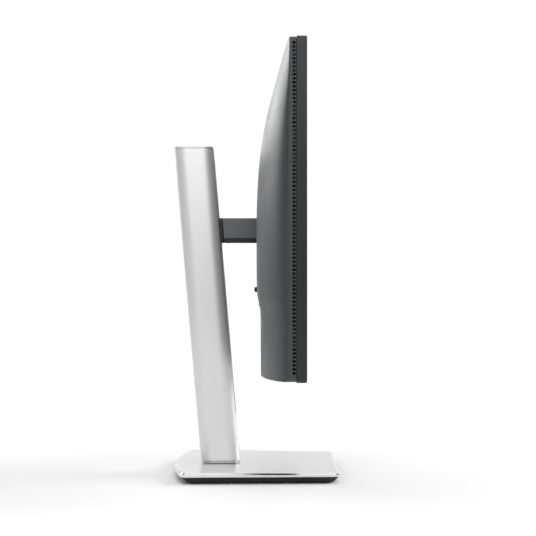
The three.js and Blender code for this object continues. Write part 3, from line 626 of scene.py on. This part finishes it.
def make_base():
    foot_y = column_y(SHELL_LOW.z)
    seam = BASE_LOW.z

    def on_slope(u, v, w):
        """w is the seam's height plus a share of the way up to the sloping top."""
        return (u, v, seam + (w - seam) * (BASE_TOP + BASE_SLOPE * v - seam) / (BASE_TOP - seam))

    shell = slab("base_top_casting", base_outline, seam, BASE_TOP, on_slope, 0.3, BASE_CHAMFER, 1)
    pocket = slab("tool", lambda inset: base_outline(BASE_WALL + inset), seam - 1,
                  BASE_TOP - BASE_WALL, on_slope)
    bore = slab("tool", circle(SWIVEL_RADIUS + 1, (0, foot_y), 64), 0, 30, upward)
    cut(shell, pocket, bore)
    fit(shell, "base", "silver", BASE_SILVER, "base_top_shell")
    shell.data.materials.append(EDGE_SILVER)
    least, most = CHAMFER_NORMALS
    for face in shell.data.polygons:
        if least < face.normal.z < most:  # the bright-cut chamfer round the top
            face.material_index = 1

    low, high = PAN_LOW.z, PAN_HIGH.z
    side = [  # (inset, height) up the pan's sloping side
        (7.5, low), (6.7, low + 0.25), (6.1, low + 0.9),
        (1.7, high - 1.0), (1.0, high - 0.3), (1.0, high),
    ]
    pan = loft("base_underside", [[(u, v, w) for u, v in base_outline(inset)] for inset, w in side])
    hollow = slab("tool", lambda inset: base_outline(PAN_HOLLOW_INSET + inset), low + PAN_FLOOR,
                  high + 5, upward)
    opening = slab("tool", circle(KNOB_OPENING, (0, foot_y), 48), -5, 30, upward)
    cut(pan, hollow, opening)
    fit(pan, "base", "black_plastic", BLACK, "base_pan")

    for i in range(1, 5):
        low, high = box_mm(f"foot_pad_{i}")
        outline = circle((high.x - low.x) / 2, middle(low, high, "xy"), 40)
        pad = slab(f"rubber_foot_{i}", outline, low.z, high.z, upward, 0.35)
        fit(pad, "base", "rubber", RUBBER, f"foot_pad_{i}")


# ---------- column ----------
def column_section(inset=0.0):
    across, along = COLUMN_CORNER
    outline = rounded_rectangle(COLUMN_WIDTH, COLUMN_DEPTH, across, steps=14, rise=along)
    return outline(inset)


def cable_hole(clearance=0.0):
    """outline(inset) of the cable hole, drawn in by a clearance."""
    width, height = CABLE_HOLE_WIDTH - 2 * clearance, CABLE_HOLE_HEIGHT - 2 * clearance
    return rounded_rectangle(width, height, width / 2, (0, CABLE_HOLE_Z), 14)


def make_column():
    foot_y = column_y(SHELL_LOW.z)
    top = SHELL_HIGH.z
    shell = slab("column_extrusion", column_section, SHELL_LOW.z, top, up_column, 0.5, 0.25)
    hollow = slab("tool", lambda inset: column_section(COLUMN_WALL + inset),
                  SHELL_LOW.z + COLUMN_FLOOR, top + 50, up_column)
    slot_height = SLOT_HIGH.z - SLOT_LOW.z - SLOT_MARGIN
    front = -COLUMN_DEPTH / 2

    def slot_outline(margin):
        """outline(inset) of the slot with a margin all round."""
        corner = SLOT_CORNER + min(margin, 2)
        centre = (0, (SLOT_LOW.z + SLOT_HIGH.z) / 2)
        return rounded_rectangle(SLOT_WIDTH + 2 * margin, slot_height + 2 * margin, corner, centre)

    slot = slab("tool", slot_outline(0), front - 5, 0, through_column)
    hole = slab("tool", cable_hole(), -60, 60, through_column)
    bore = slab("tool", circle(SCREW_RADIUS + 0.4, (0, foot_y)), 0, 30, upward)
    cut(shell, hollow, slot, hole, bore)
    fit(shell, "column", "silver", SILVER, "column_shell")

    cap = slab("column_top_cap", column_section, top + GAP, CAP_TOP, up_column, 0.25, 0.9, 5)
    plug = slab("tool", lambda inset: column_section(COLUMN_WALL + GAP + inset), top - 2.5, top + 1,
                up_column)
    fit(join(cap, plug), "column", "silver", SILVER, "column_cap")

    trim = collar("slot_surround", slot_outline(4), slot_outline(-1), front + COLUMN_WALL + GAP,
                  front + COLUMN_WALL + 1.5, through_column, (0.4, 0.2))
    fit(trim, "column", "black_plastic", BLACK, "slot_trim")

    half = COLUMN_DEPTH / 2 - RING_INSET
    ring = collar("cable_grommet", cable_hole(GAP), cable_hole(GAP + RING_WALL), -half, half,
                  through_column, (0.6, 0.6))
    fit(ring, "column", "black_plastic", BLACK, "cable_ring")

    rotor_low, rotor_high = box_mm("swivel_rotor")
    plate = slab("swivel_plate", lambda inset: column_section(PLINTH_INSET + inset), BASE_TOP + 1,
                 rotor_high.z, up_column, 0.2, 0.2)
    stem = slab("tool", circle(SWIVEL_RADIUS, (0, foot_y)), rotor_low.z, BASE_TOP + 1.1, upward, 0.3)
    bore = slab("tool", circle(SCREW_RADIUS + 0.5, (0, foot_y)), 0, 30, upward)
    # the plate gets the darker silver, painted shade for the shadow under the column's foot
    fit(cut(join(plate, stem), bore), "column", "silver", PLINTH_SILVER_PAINTED_SHADE, "swivel_rotor")

    low, high = box_mm("thumb_screw")
    knob_radius = (high.x - low.x) / 2

    def knurled(inset=0.0):
        ring = []
        for i in range(KNURL_STEPS):
            a = 2 * math.pi * i / KNURL_STEPS
            r = knob_radius - inset - KNURL_DEPTH * (i % 4 > 1)
            ring.append((r * math.cos(a), foot_y + r * math.sin(a)))
        return ring

    knob = slab("thumb_screw_head", knurled, low.z, KNOB_TOP, upward, 0.4, 0.3)
    shank = slab("tool", circle(SCREW_RADIUS, (0, foot_y)), KNOB_TOP - 0.4, high.z, upward, 0, 0.6)
    fit(join(knob, shank), "column", "zinc", ZINC, "thumb_screw")


# ---------- arm ----------
def arm_half(name, z_low, z_high):
    """One half of the arm's sleeve: a channel between the display's end and the flange."""
    half = ARM_HIGH.x
    height = ARM_HIGH.z - ARM_FLOOR
    centre = (0, (ARM_FLOOR + ARM_HIGH.z) / 2)
    outer = rounded_rectangle(2 * half, height, ARM_CORNER, centre)
    inner = rounded_rectangle(2 * (half - ARM_WALL), height - 2 * ARM_WALL, 2, centre)

    def place(u, v, w):
        """w is the share of the way from the display's end to the column's."""
        rear = column_y(v) - (COLUMN_DEPTH / 2 + FLANGE_REACH + GAP) / math.cos(LEAN)
        return (u, ARM_LOW.y + w * (rear - ARM_LOW.y), v)

    side = [  # (inset, share of the way), rounding both ends
        (0.35, 0.0), (0.12, 0.004), (0.0, 0.012), (0.0, 0.5), (0.0, 0.988), (0.12, 0.996), (0.35, 1.0),
    ]
    rings = [[place(u, v, w) for u, v in outer(inset)] for inset, w in side]
    rings += [[place(u, v, w) for u, v in inner(0)] for _, w in reversed(side)]
    sleeve = loft(name, rings, loop=True)
    keep = block((-half - 5, half + 5), (ARM_LOW.y - 5, 60), (z_low, z_high))
    return boolean(sleeve, "INTERSECT", keep)


def make_arm():
    upper = arm_half("arm_upper_moulding", ARM_SEAM, ARM_HIGH.z + 5)
    fit(upper, "carriage", "dark_plastic", ARM_PLASTIC, "arm_cover_upper")
    lower = arm_half("arm_lower_moulding", ARM_FLOOR - 5, ARM_SEAM - GAP)
    fit(lower, "carriage", "black_plastic", BLACK, "arm_cover_lower")

    front = -COLUMN_DEPTH / 2
    low, high = box_mm("arm_collar")
    # the leaning flange's middle, brought back to the column's centre line
    centre = (0, (low.z + high.z) / 2 + (front - FLANGE_REACH / 2) * math.sin(LEAN))
    ring = collar("arm_flange", rounded_rectangle(FLANGE_WIDTH, FLANGE_HEIGHT, 4, centre),
                  rounded_rectangle(26, 18, 1, centre), front - FLANGE_REACH, front - GAP,
                  through_column, (0.8, 0.3))
    fit(ring, "carriage", "black_plastic", BLACK, "arm_collar")


# ---------- hinge and mount covers ----------
def make_mount():
    centre = (0, ARM_Z)
    inner_width = MOUNT_WIDTH - 2 * MOUNT_WALL
    face_back = PLATE_FACE - COVER_FACE_WALL
    ring = slab("mount_surround", rounded_rectangle(MOUNT_WIDTH, MOUNT_WIDTH, 7.4, centre, 10),
                MOUNT_FRONT, PLATE_FACE, rearward, 0.0, 0.7)
    hollow = slab("tool", rounded_rectangle(inner_width, inner_width, 6, centre, 10), -20, face_back,
                  rearward)
    window = slab("tool", circle(HINGE_OPENING, centre, 96), -20, 5, rearward)
    cut(ring, hollow, window)
    fit(soften(ring, 0.35, 60), "display", "dark_plastic", PLASTIC, "mount_cover")

    disc = slab("hinge_cover", circle(HINGE_RADIUS, centre, 96), HINGE_FRONT, PLATE_FACE, rearward,
                0.0, 0.6)
    hollow = slab("tool", circle(HINGE_RADIUS - 2, centre, 96), -20, face_back, rearward)
    cut(disc, hollow)
    lugs = [
        block(x, (HINGE_FRONT - 1.1, HINGE_FRONT + 0.5), (ARM_Z - 6, ARM_Z + 6))
        for x in ((28, 46), (-46, -28))
    ]
    join(disc, *lugs)
    outline = rounded_rectangle(*HINGE_WINDOW, 1.5, (0, ARM_Z + HINGE_WINDOW_RISE))
    window = slab("tool", outline, -40, 10, rearward)
    cut(disc, window)
    fit(soften(disc, 0.35, 60), "tilt_head", "dark_plastic", PLASTIC, "hinge_cap")


# ---------- rear cover ----------
def dome_depth(z):
    """The dome's depth behind the crease at a height, on a smooth curve through its profile."""
    points = DOME_PROFILE
    i = 0
    while i < len(points) - 2 and points[i + 1][0] <= z:
        i += 1

    def slope(k):
        a, b = points[max(k - 1, 0)], points[min(k + 1, len(points) - 1)]
        return (b[1] - a[1]) / (b[0] - a[0])

    (z0, d0), (z1, d1) = points[i], points[i + 1]
    width = z1 - z0
    t = min(max((z - z0) / width, 0), 1)
    return (
        (2 * t**3 - 3 * t**2 + 1) * d0 + (t**3 - 2 * t**2 + t) * width * slope(i)
        + (3 * t**2 - 2 * t**3) * d1 + (t**3 - t**2) * width * slope(i + 1)
    )


def dome_rise(distance, z):
    """The share of that depth reached at a distance from the cover's side edge."""
    t = min(max(distance / DOME_RUN, 0), 1)
    shoulder = (1 - (1 - t) ** 2) ** SHOULDER_POWER
    arch = min(distance / HEAD_HIGH.x, 1) ** ARCH_POWER
    height = min(max((z - ARCH_START) / (HEAD_HIGH.z - ARCH_START), 0), 1)
    return shoulder + (arch - shoulder) * height**ARCH_ONSET_POWER


def dome(name, inset, y_front, x_steps, z_steps):
    """A solid from a flat front to the dome, drawn in by an inset all round."""
    half = COVER_HIGH.x - inset
    low, high = COVER_LOW.z + inset, COVER_HIGH.z - inset
    run = DOME_RUN - inset
    right = [half - run * (i / x_steps) ** 2 for i in range(x_steps + 1)]
    flat_steps = 6
    flat = [right[-1] * (1 - i / flat_steps) for i in range(1, flat_steps)]
    xs = [-x for x in right + flat] + [0] + list(reversed(right + flat))
    zs = [low + (high - low) * k / z_steps for k in range(z_steps + 1)]
    nx, nz = len(xs), len(zs)
    points = [
        (x, CREASE - inset + dome_depth(z) * dome_rise(half - abs(x), z), z) for z in zs for x in xs
    ]
    top = (nz - 1) * nx
    border = list(range(nx)) + [k * nx + nx - 1 for k in range(1, nz)]
    border += [top + i for i in range(nx - 2, -1, -1)] + [k * nx for k in range(nz - 2, 0, -1)]
    front = len(points)
    points += [(points[i][0], y_front, points[i][2]) for i in border]
    faces = []
    for k in range(nz - 1):
        for i in range(nx - 1):
            a = k * nx + i
            faces.append((a, a + 1, a + nx + 1, a + nx))
    count = len(border)
    for n in range(count):
        m = (n + 1) % count
        faces.append((border[m], border[n], front + n, front + m))
    faces.append(tuple(range(front, front + count)))
    return mesh_object(name, points, faces)


def make_vent_tool():
    """The pills that cut both side walls' rows of vents, as one mesh."""
    parts = bmesh.new()
    outline = rounded_rectangle(VENT_WIDTH, VENT_HEIGHT, 0.6, steps=3)()
    count = len(outline)
    for side in (-1, 1):
        for n in range(VENT_COUNT):
            z = VENT_LOW + n * VENT_PITCH
            rings = [
                [parts.verts.new(Vector((side * x, VENT_Y + u, z + v)) * MM) for u, v in outline]
                for x in (COVER_HIGH.x - COVER_WALL - 1.5, COVER_HIGH.x + 2)
            ]
            for i in range(count):
                j = (i + 1) % count
                parts.faces.new((rings[0][i], rings[0][j], rings[1][j], rings[1][i]))
            parts.faces.new(list(reversed(rings[0])))
            parts.faces.new(rings[1])
    bmesh.ops.recalc_face_normals(parts, faces=parts.faces)
    mesh = bpy.data.meshes.new("vents")
    parts.to_mesh(mesh)
    parts.free()
    tool = bpy.data.objects.new("tool", mesh)
    bpy.context.scene.collection.objects.link(tool)
    return tool


def key_opening(node, size, corner):
    """A tool that cuts an opening with a gap round a key of this size."""
    width, height = size
    centre = middle(*box_mm(node), "xz")
    outline = rounded_rectangle(width + 2 * GAP, height + 2 * GAP, corner, centre)
    return slab("tool", outline, -20, 10, rearward)


def make_rear_cover():
    front = COVER_LOW.y
    width = COVER_HIGH.x - COVER_LOW.x
    height = COVER_HIGH.z - COVER_LOW.z
    centre = (0, (COVER_HIGH.z + COVER_LOW.z) / 2)
    cover = dome("rear_cover_moulding", 0, front, 34, 110)
    outline = rounded_rectangle(width, height, FRAME_CORNER, centre, 10)
    boolean(cover, "INTERSECT", slab("tool", outline, -60, 20, rearward))

    hollow = dome("tool", COVER_WALL, front - 5, 16, 40)
    recess_half = RECESS_HALF + COVER_WALL
    outline = rounded_rectangle(2 * recess_half, 2 * recess_half, RECESS_CORNER + 1, (0, ARM_Z))
    recess_wall = slab("tool", outline, RECESS_FLOOR - COVER_WALL, 40, rearward)
    bay_wall = block((-BAY_HALF - COVER_WALL, BAY_HALF + COVER_WALL), (BAY_FLOOR - COVER_WALL, 40),
                     (0, BAY_CEILING + COVER_WALL))
    cut(hollow, recess_wall, bay_wall)
    outline = rounded_rectangle(2 * RECESS_HALF, 2 * RECESS_HALF, RECESS_CORNER, (0, ARM_Z))
    recess = slab("tool", outline, RECESS_FLOOR, 40, rearward)
    bay_middle = 60  # so low that the bay opens through the cover's lower edge
    outline = rounded_rectangle(2 * BAY_HALF, 2 * (BAY_CEILING - bay_middle), 5, (0, bay_middle))
    bay = slab("tool", outline, BAY_FLOOR, 40, rearward)
    cut(cover, hollow, recess, bay)

    openings = []
    for node in BAY_NODES:
        low, high = box_mm(node)
        openings.append(block((low.x - GAP, high.x + GAP), (low.y - GAP, high.y + GAP),
                              (BAY_CEILING - 5, BAY_CEILING + 10)))
    stick = middle(*box_mm("joystick_cap"), "xz")
    openings.append(slab("tool", circle(STICK_OPENING, stick), -20, 10, rearward))
    openings.append(key_opening("power_button", POWER_KEY, POWER_CORNER + 0.3))
    openings.append(key_opening("release_button", RELEASE_KEY, RELEASE_CORNER + 0.2))
    cut(cover, *openings)

    right, left = COVER_HIGH.x, COVER_LOW.x
    grooves = [
        block(x, (front - 1, VENT_Y + 2.0), (VENT_LOW - 3, COVER_HIGH.z - 2.5))
        for x in ((right - GROOVE_DEPTH, right + 3), (left - 3, left + GROOVE_DEPTH))
    ]
    cut(cover, *grooves)
    cut(cover, make_vent_tool())
    fit(cover, "display", "dark_plastic", PLASTIC, "rear_cover")


# ---------- front frame and screen ----------
def make_front():
    width = HEAD_HIGH.x - HEAD_LOW.x
    height = HEAD_HIGH.z - HEAD_LOW.z
    centre = (0, (HEAD_HIGH.z + HEAD_LOW.z) / 2)
    panel_width = PANEL_HIGH.x - PANEL_LOW.x
    panel_height = PANEL_HIGH.z - PANEL_LOW.z
    panel_centre = (0, (PANEL_LOW.z + PANEL_HIGH.z) / 2)
    front, back = HEAD_LOW.y, HEAD_HIGH.y
    outer = rounded_rectangle(width, height, FRAME_CORNER, centre, 10)
    inner = rounded_rectangle(panel_width + 2 * GAP, panel_height + 2 * GAP, 0.6, panel_centre, 10)
    side = levels(front, back, 1.5, 0.3, 6)
    lip = [(0.0, back), (0.0, front + 0.3), (-0.15, front + 0.05), (-0.3, front)]
    rings = [[rearward(u, v, w) for u, v in outer(inset)] for inset, w in side]
    rings += [[rearward(u, v, w) for u, v in inner(inset)] for inset, w in lip]
    border = loft("front_frame_moulding", rings, loop=True)
    fit(border, "display", "dark_plastic", FRAME_PLASTIC, "front_frame")

    outline = rounded_rectangle(panel_width, panel_height, 0.4, panel_centre, 3)
    glass = slab("screen_panel", outline, PANEL_LOW.y, PANEL_HIGH.y, rearward, 0.2, 0.1)
    fit(glass, "display", "screen", SCREEN, "lcd_panel")


# ---------- controls ----------
def make_controls():
    low, high = box_mm("joystick_cap")
    x, z = middle(low, high, "xz")
    foot, tip = low.y, high.y
    profile = [  # a ball foot, a thin neck and a dished knob
        (0.05, foot), (1.2, foot + 0.25), (1.9, foot + 0.8), (2.5, foot + 1.7), (2.6, foot + 2.5),
        (2.3, foot + 3.5), (1.7, foot + 4.4), (1.5, foot + 5.0), (1.5, tip - 6.3), (1.8, tip - 6.1),
        (2.85, tip - 5.8), (3.05, tip - 5.3), (3.05, tip - 1.3), (2.75, tip - 0.5),
        (2.2, tip - 0.1), (1.6, tip - 0.15), (0.8, tip - 0.4), (0.05, tip - 0.45),
    ]
    stick = turned("joystick_knob", profile, (x, 0, z), 48, flutes=12, flute_depth=0.12)
    fit(stick, "joystick", "black_plastic", BLACK, "joystick_cap")

    low, high = box_mm("power_button")
    centre = middle(low, high, "xz")
    step = -10.6  # where the key meets its flange
    width, height = POWER_KEY
    cap = slab("power_key", rounded_rectangle(width, height, POWER_CORNER, centre, 12), step, high.y,
               rearward, 0, 0.7, 5)
    flange = slab("tool", rounded_rectangle(width + 2, height + 2, POWER_CORNER + 0.5, centre, 12),
                  low.y + 2.6, step + 0.1, rearward)
    stem = slab("tool", circle(1.6, centre), low.y, low.y + 2.7, rearward)
    face = high.y
    profile = [(0.05, face - 0.35), (2.2, face - 0.25), (3.4, face + 0.05), (3.4, face + 1),
               (0.05, face + 1)]
    dish = turned("tool", profile, (centre[0], 0, centre[1]))
    cut(join(cap, flange, stem), dish)
    fit(cap, "power_button", "black_plastic", BLACK, "power_button")

    low, high = box_mm("release_button")
    x, z = middle(low, high, "xz")
    step = -7.6
    width, height = RELEASE_KEY
    key = slab("release_key", rounded_rectangle(width, height, RELEASE_CORNER, (x, z)), step,
               high.y - 0.4, rearward, 0, 0.5)
    flange = slab("tool", rounded_rectangle(width + 4, height + 4, RELEASE_CORNER + 1, (x, z)),
                  low.y, step + 0.1, rearward, 0.2, 0.2)
    ribs = [
        slab("tool", rounded_rectangle(16, 0.9, 0.4, (x, z + dz)), high.y - 1, high.y, rearward, 0,
             0.3, 2)
        for dz in (-2, 0, 2)
    ]
    join(key, flange, *ribs)
    fit(key, "release_button", "black_plastic", BLACK, "release_button")


# ---------- connectors ----------
CORNER_CLIPS = {  # how much the mouth's left and right corners are cut off
    "hdmi": (2.4, 2.4), "displayport": (2.2, 0.3), "usb_b": (2.6, 2.6), "usb_a": (0.4, 0.4),
}


def port_outline(width, depth, centre, style):
    """outline(inset) of a connector's mouth in plan, with the clipped corners of its kind."""
    left, right = CORNER_CLIPS[style]

    def outline(inset=0.0):
        w, d = width / 2 - inset, depth / 2 - inset
        cx, cy = centre
        return [(cx - w, cy - d), (cx + w, cy - d), (cx + w, cy + d - right),
                (cx + w - right, cy + d), (cx - w + left, cy + d), (cx - w, cy + d - left)]

    return outline


PORT_WALL = 0.6
PORT_DEPTH = 11
CONTACT_COUNT = 7
CONTACT_WIDTH = 0.56
INLET_WALL = 2


def make_ports():
    styles = {"hdmi_port": "hdmi", "displayport_port": "displayport", "usb_upstream_port": "usb_b",
              "usb_device_port": "usb_a"}
    for node, style in styles.items():
        low, high = box_mm(node)
        centre = middle(low, high, "xy")
        width = high.x - low.x
        outline = port_outline(width, high.y - low.y, centre, style)
        shell = slab(f"{node}_shell", outline, low.z, high.z, upward, 0.25, 0.25)
        cavity = slab("tool", lambda inset, o=outline: o(PORT_WALL + inset), low.z - 3,
                      low.z + PORT_DEPTH, upward)
        cut(shell, cavity)
        fit(soften(shell, 0.15, 50), "display", "zinc", ZINC, node)
        tongue_depth = 1.6 if style != "usb_b" else 4.6
        tongue = slab(f"{node}_tongue", rounded_rectangle(width - 5, tongue_depth, 0.3, centre, 3),
                      low.z + 1.6, low.z + PORT_DEPTH + 0.4, upward, 0.3)
        fit(tongue, "display", "black_plastic", BLACK)
        row = width - 7
        face = centre[1] + tongue_depth / 2
        for n in range(CONTACT_COUNT):
            x = centre[0] - row / 2 + n * row / (CONTACT_COUNT - 1)
            strip = block((x - CONTACT_WIDTH / 2, x + CONTACT_WIDTH / 2), (face - 0.1, face + 0.12),
                          (low.z + 2.2, low.z + 10.5), f"{node}_contact_{n + 1}")
            fit(soften(strip, 0.05, 40), "display", "zinc", CONTACT)


def make_power_inlet():
    low, high = box_mm("power_inlet")
    centre = middle(low, high, "xy")
    width, depth = high.x - low.x, high.y - low.y
    outline = port_outline(width, depth, centre, "usb_b")
    pin_end = high.z - 4
    body = slab("power_inlet_body", rounded_rectangle(width, depth, 1.2, centre, 5), low.z, high.z,
                upward, 0.4, 0.4)
    mouth = slab("tool", lambda inset: outline(INLET_WALL + inset), low.z - 3, pin_end, upward)
    cut(body, mouth)
    fit(soften(body, 0.25, 50), "display", "black_plastic", BLACK, "power_inlet")
    for n, (dx, dy) in enumerate([(-7, 2), (7, 2), (0, -2)]):
        at = (centre[0] + dx, centre[1] + dy)
        pin = slab(f"power_inlet_pin_{n + 1}", rounded_rectangle(2, 4, 0.5, at, 4), low.z + 6,
                   pin_end, upward, 0.5)
        fit(pin, "display", "zinc", ZINC)


# ---------- pieces that keep their CAD shape ----------
KEPT = {
    "steel": (STEEL, ["base_weight", "swivel_washer", "drum_axle", "tilt_bracket", "tilt_pin",
                      "pivot_washer", "vesa_screw_1", "vesa_screw_2", "vesa_screw_3",
                      "vesa_screw_4", "spring_anchor", "spring_drum", "arm_bracket"]),
    "upright": (STEEL_UPRIGHT, ["rail_left", "rail_right", "spring_strip"]),
    "zinc": (ZINC, ["swivel_bearing", "carriage_block", "tilt_washer_left", "tilt_washer_right",
                    "mount_plate", "panel_chassis", "board_bracket", "joystick_gimbal"]),
    "nylon": (NYLON, ["guide_shoe_left", "guide_shoe_right", "led_bar"]),
    "acrylic": (ACRYLIC, ["light_guide"]),
    "board": (BOARD, ["main_board", "power_board", "control_board"]),
    "black": (BLACK, ["joystick_cradle"]),
}


def finish_kept_nodes():
    for look, names in KEPT.values():
        for name in names:
            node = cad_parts[name]
            node.data.materials.clear()
            node.data.materials.append(look)
            add_bevel(node, 0.2, 50)


# ---------- studio ----------
ROOM_DIM = 0.35
ROOM_CEILING = 0.42
CEILING_EDGE = 0.6  # how far up a direction points where the ceiling is fully bright
BACKDROP = 1.04
BACKDROP_EDGE = (0.93, 0.975)  # how far towards +X it points where the backdrop fades in
FLOOR_RADIUS = 1600
FLOOR_GREY = 0.92
LENS = 123.55
CAMERA_PLACE = (-2.1, -0.014, 0.2325)
LAMPS = [  # name, place, aim, size, watts, with lengths in metres
    ("key", (-2.6, -0.2, 1.6), (0, 0, 0.3), (2.6, 1.8), 30),
    ("overhead", (-0.2, 0.1, 1.2), (-0.2, 0.1, 0), (1.2, 1.2), 4),
    ("front", (1.0, -2.8, 1.3), (0, 0, 0.3), (2.0, 1.6), 72),
    ("rear", (2.2, 2.2, 1.0), (0, 0, 0.3), (1.6, 1.0), 10),
    ("rear_broad", (2.4, 2.2, 1.5), (0, 0, 0.3), (3.2, 1.4), 15),
    ("rear_side", (2.9, 1.1, 1.1), (0, 0, 0.3), (1.2, 1.0), 7),
    ("backdrop_floor", (1.4, 0, 1.8), (1.0, 0, 0), (1.4, 2.4), 9),
]


def area_light(name, location, target, size, power):
    """A rectangular lamp that points at its target."""
    data = bpy.data.lights.new(name, "AREA")
    data.shape = "RECTANGLE"
    data.size, data.size_y = size
    data.energy = power
    lamp = bpy.data.objects.new(name, data)
    lamp.location = location
    lamp.rotation_euler = (Vector(target) - Vector(location)).to_track_quat("-Z", "Y").to_euler()
    lamp.visible_camera = False
    bpy.context.scene.collection.objects.link(lamp)


def ramp(tree, value, low, high, dim, bright):
    """A soft step from dim to bright as the value goes from low to high."""
    return add(tree, "ShaderNodeMapRange", {
        "Value": value, "From Min": low, "From Max": high, "To Min": dim, "To Max": bright,
    }, interpolation_type="SMOOTHSTEP").outputs["Result"]


def make_world():
    """A dim room with a pale ceiling, and a white backdrop panel on the +X side."""
    world = bpy.data.worlds.new("studio")
    bpy.context.scene.world = world
    world.use_nodes = True
    tree = world.node_tree
    tree.nodes.clear()
    axes = add(tree, "ShaderNodeSeparateXYZ", {
        "Vector": add(tree, "ShaderNodeTexCoord").outputs["Generated"],
    })
    room = ramp(tree, axes.outputs["Z"], 0.0, CEILING_EDGE, ROOM_DIM, ROOM_CEILING)
    panel = ramp(tree, axes.outputs["X"], *BACKDROP_EDGE, 0.0, BACKDROP)
    glow = add(tree, "ShaderNodeMath", {0: room, 1: panel}, operation="MAXIMUM").outputs[0]
    light = add(tree, "ShaderNodeBackground", {"Color": (1, 1, 1, 1), "Strength": glow})
    add(tree, "ShaderNodeOutputWorld", {"Surface": light.outputs[0]})


def make_floor():
    floor = loft("floor", [
        [(u, v, w) for u, v in circle(FLOOR_RADIUS, (0, 0), 96)()] for w in (-20, 0)
    ])
    made, tree, shader = new_material("floor")
    set_inputs(
        tree, shader,
        Base_Color=varied(tree, (FLOOR_GREY,) * 3, noise(tree, 3, detail=2), 0.01),
        Roughness=0.9,
        Specular_IOR_Level=0.1,
    )
    floor.data.materials.append(made)


def make_camera():
    """A long lens from the -X side, level with the middle of the object."""
    data = bpy.data.cameras.new("camera")
    data.lens = LENS
    data.clip_start = 0.1
    data.clip_end = 50
    camera = bpy.data.objects.new("camera", data)
    camera.location = CAMERA_PLACE
    camera.rotation_euler = (math.pi / 2, 0, -math.pi / 2)
    bpy.context.scene.collection.objects.link(camera)
    bpy.context.scene.camera = camera


def make_studio():
    scene = bpy.context.scene
    scene.view_settings.view_transform = "Standard"
    scene.view_settings.look = "None"
    make_world()
    make_floor()
    for lamp in LAMPS:
        area_light(*lamp)


make_camera()
make_studio()
make_base()
make_column()
make_arm()
make_mount()
make_rear_cover()
make_front()
make_controls()
make_ports()
make_power_inlet()
finish_kept_nodes()
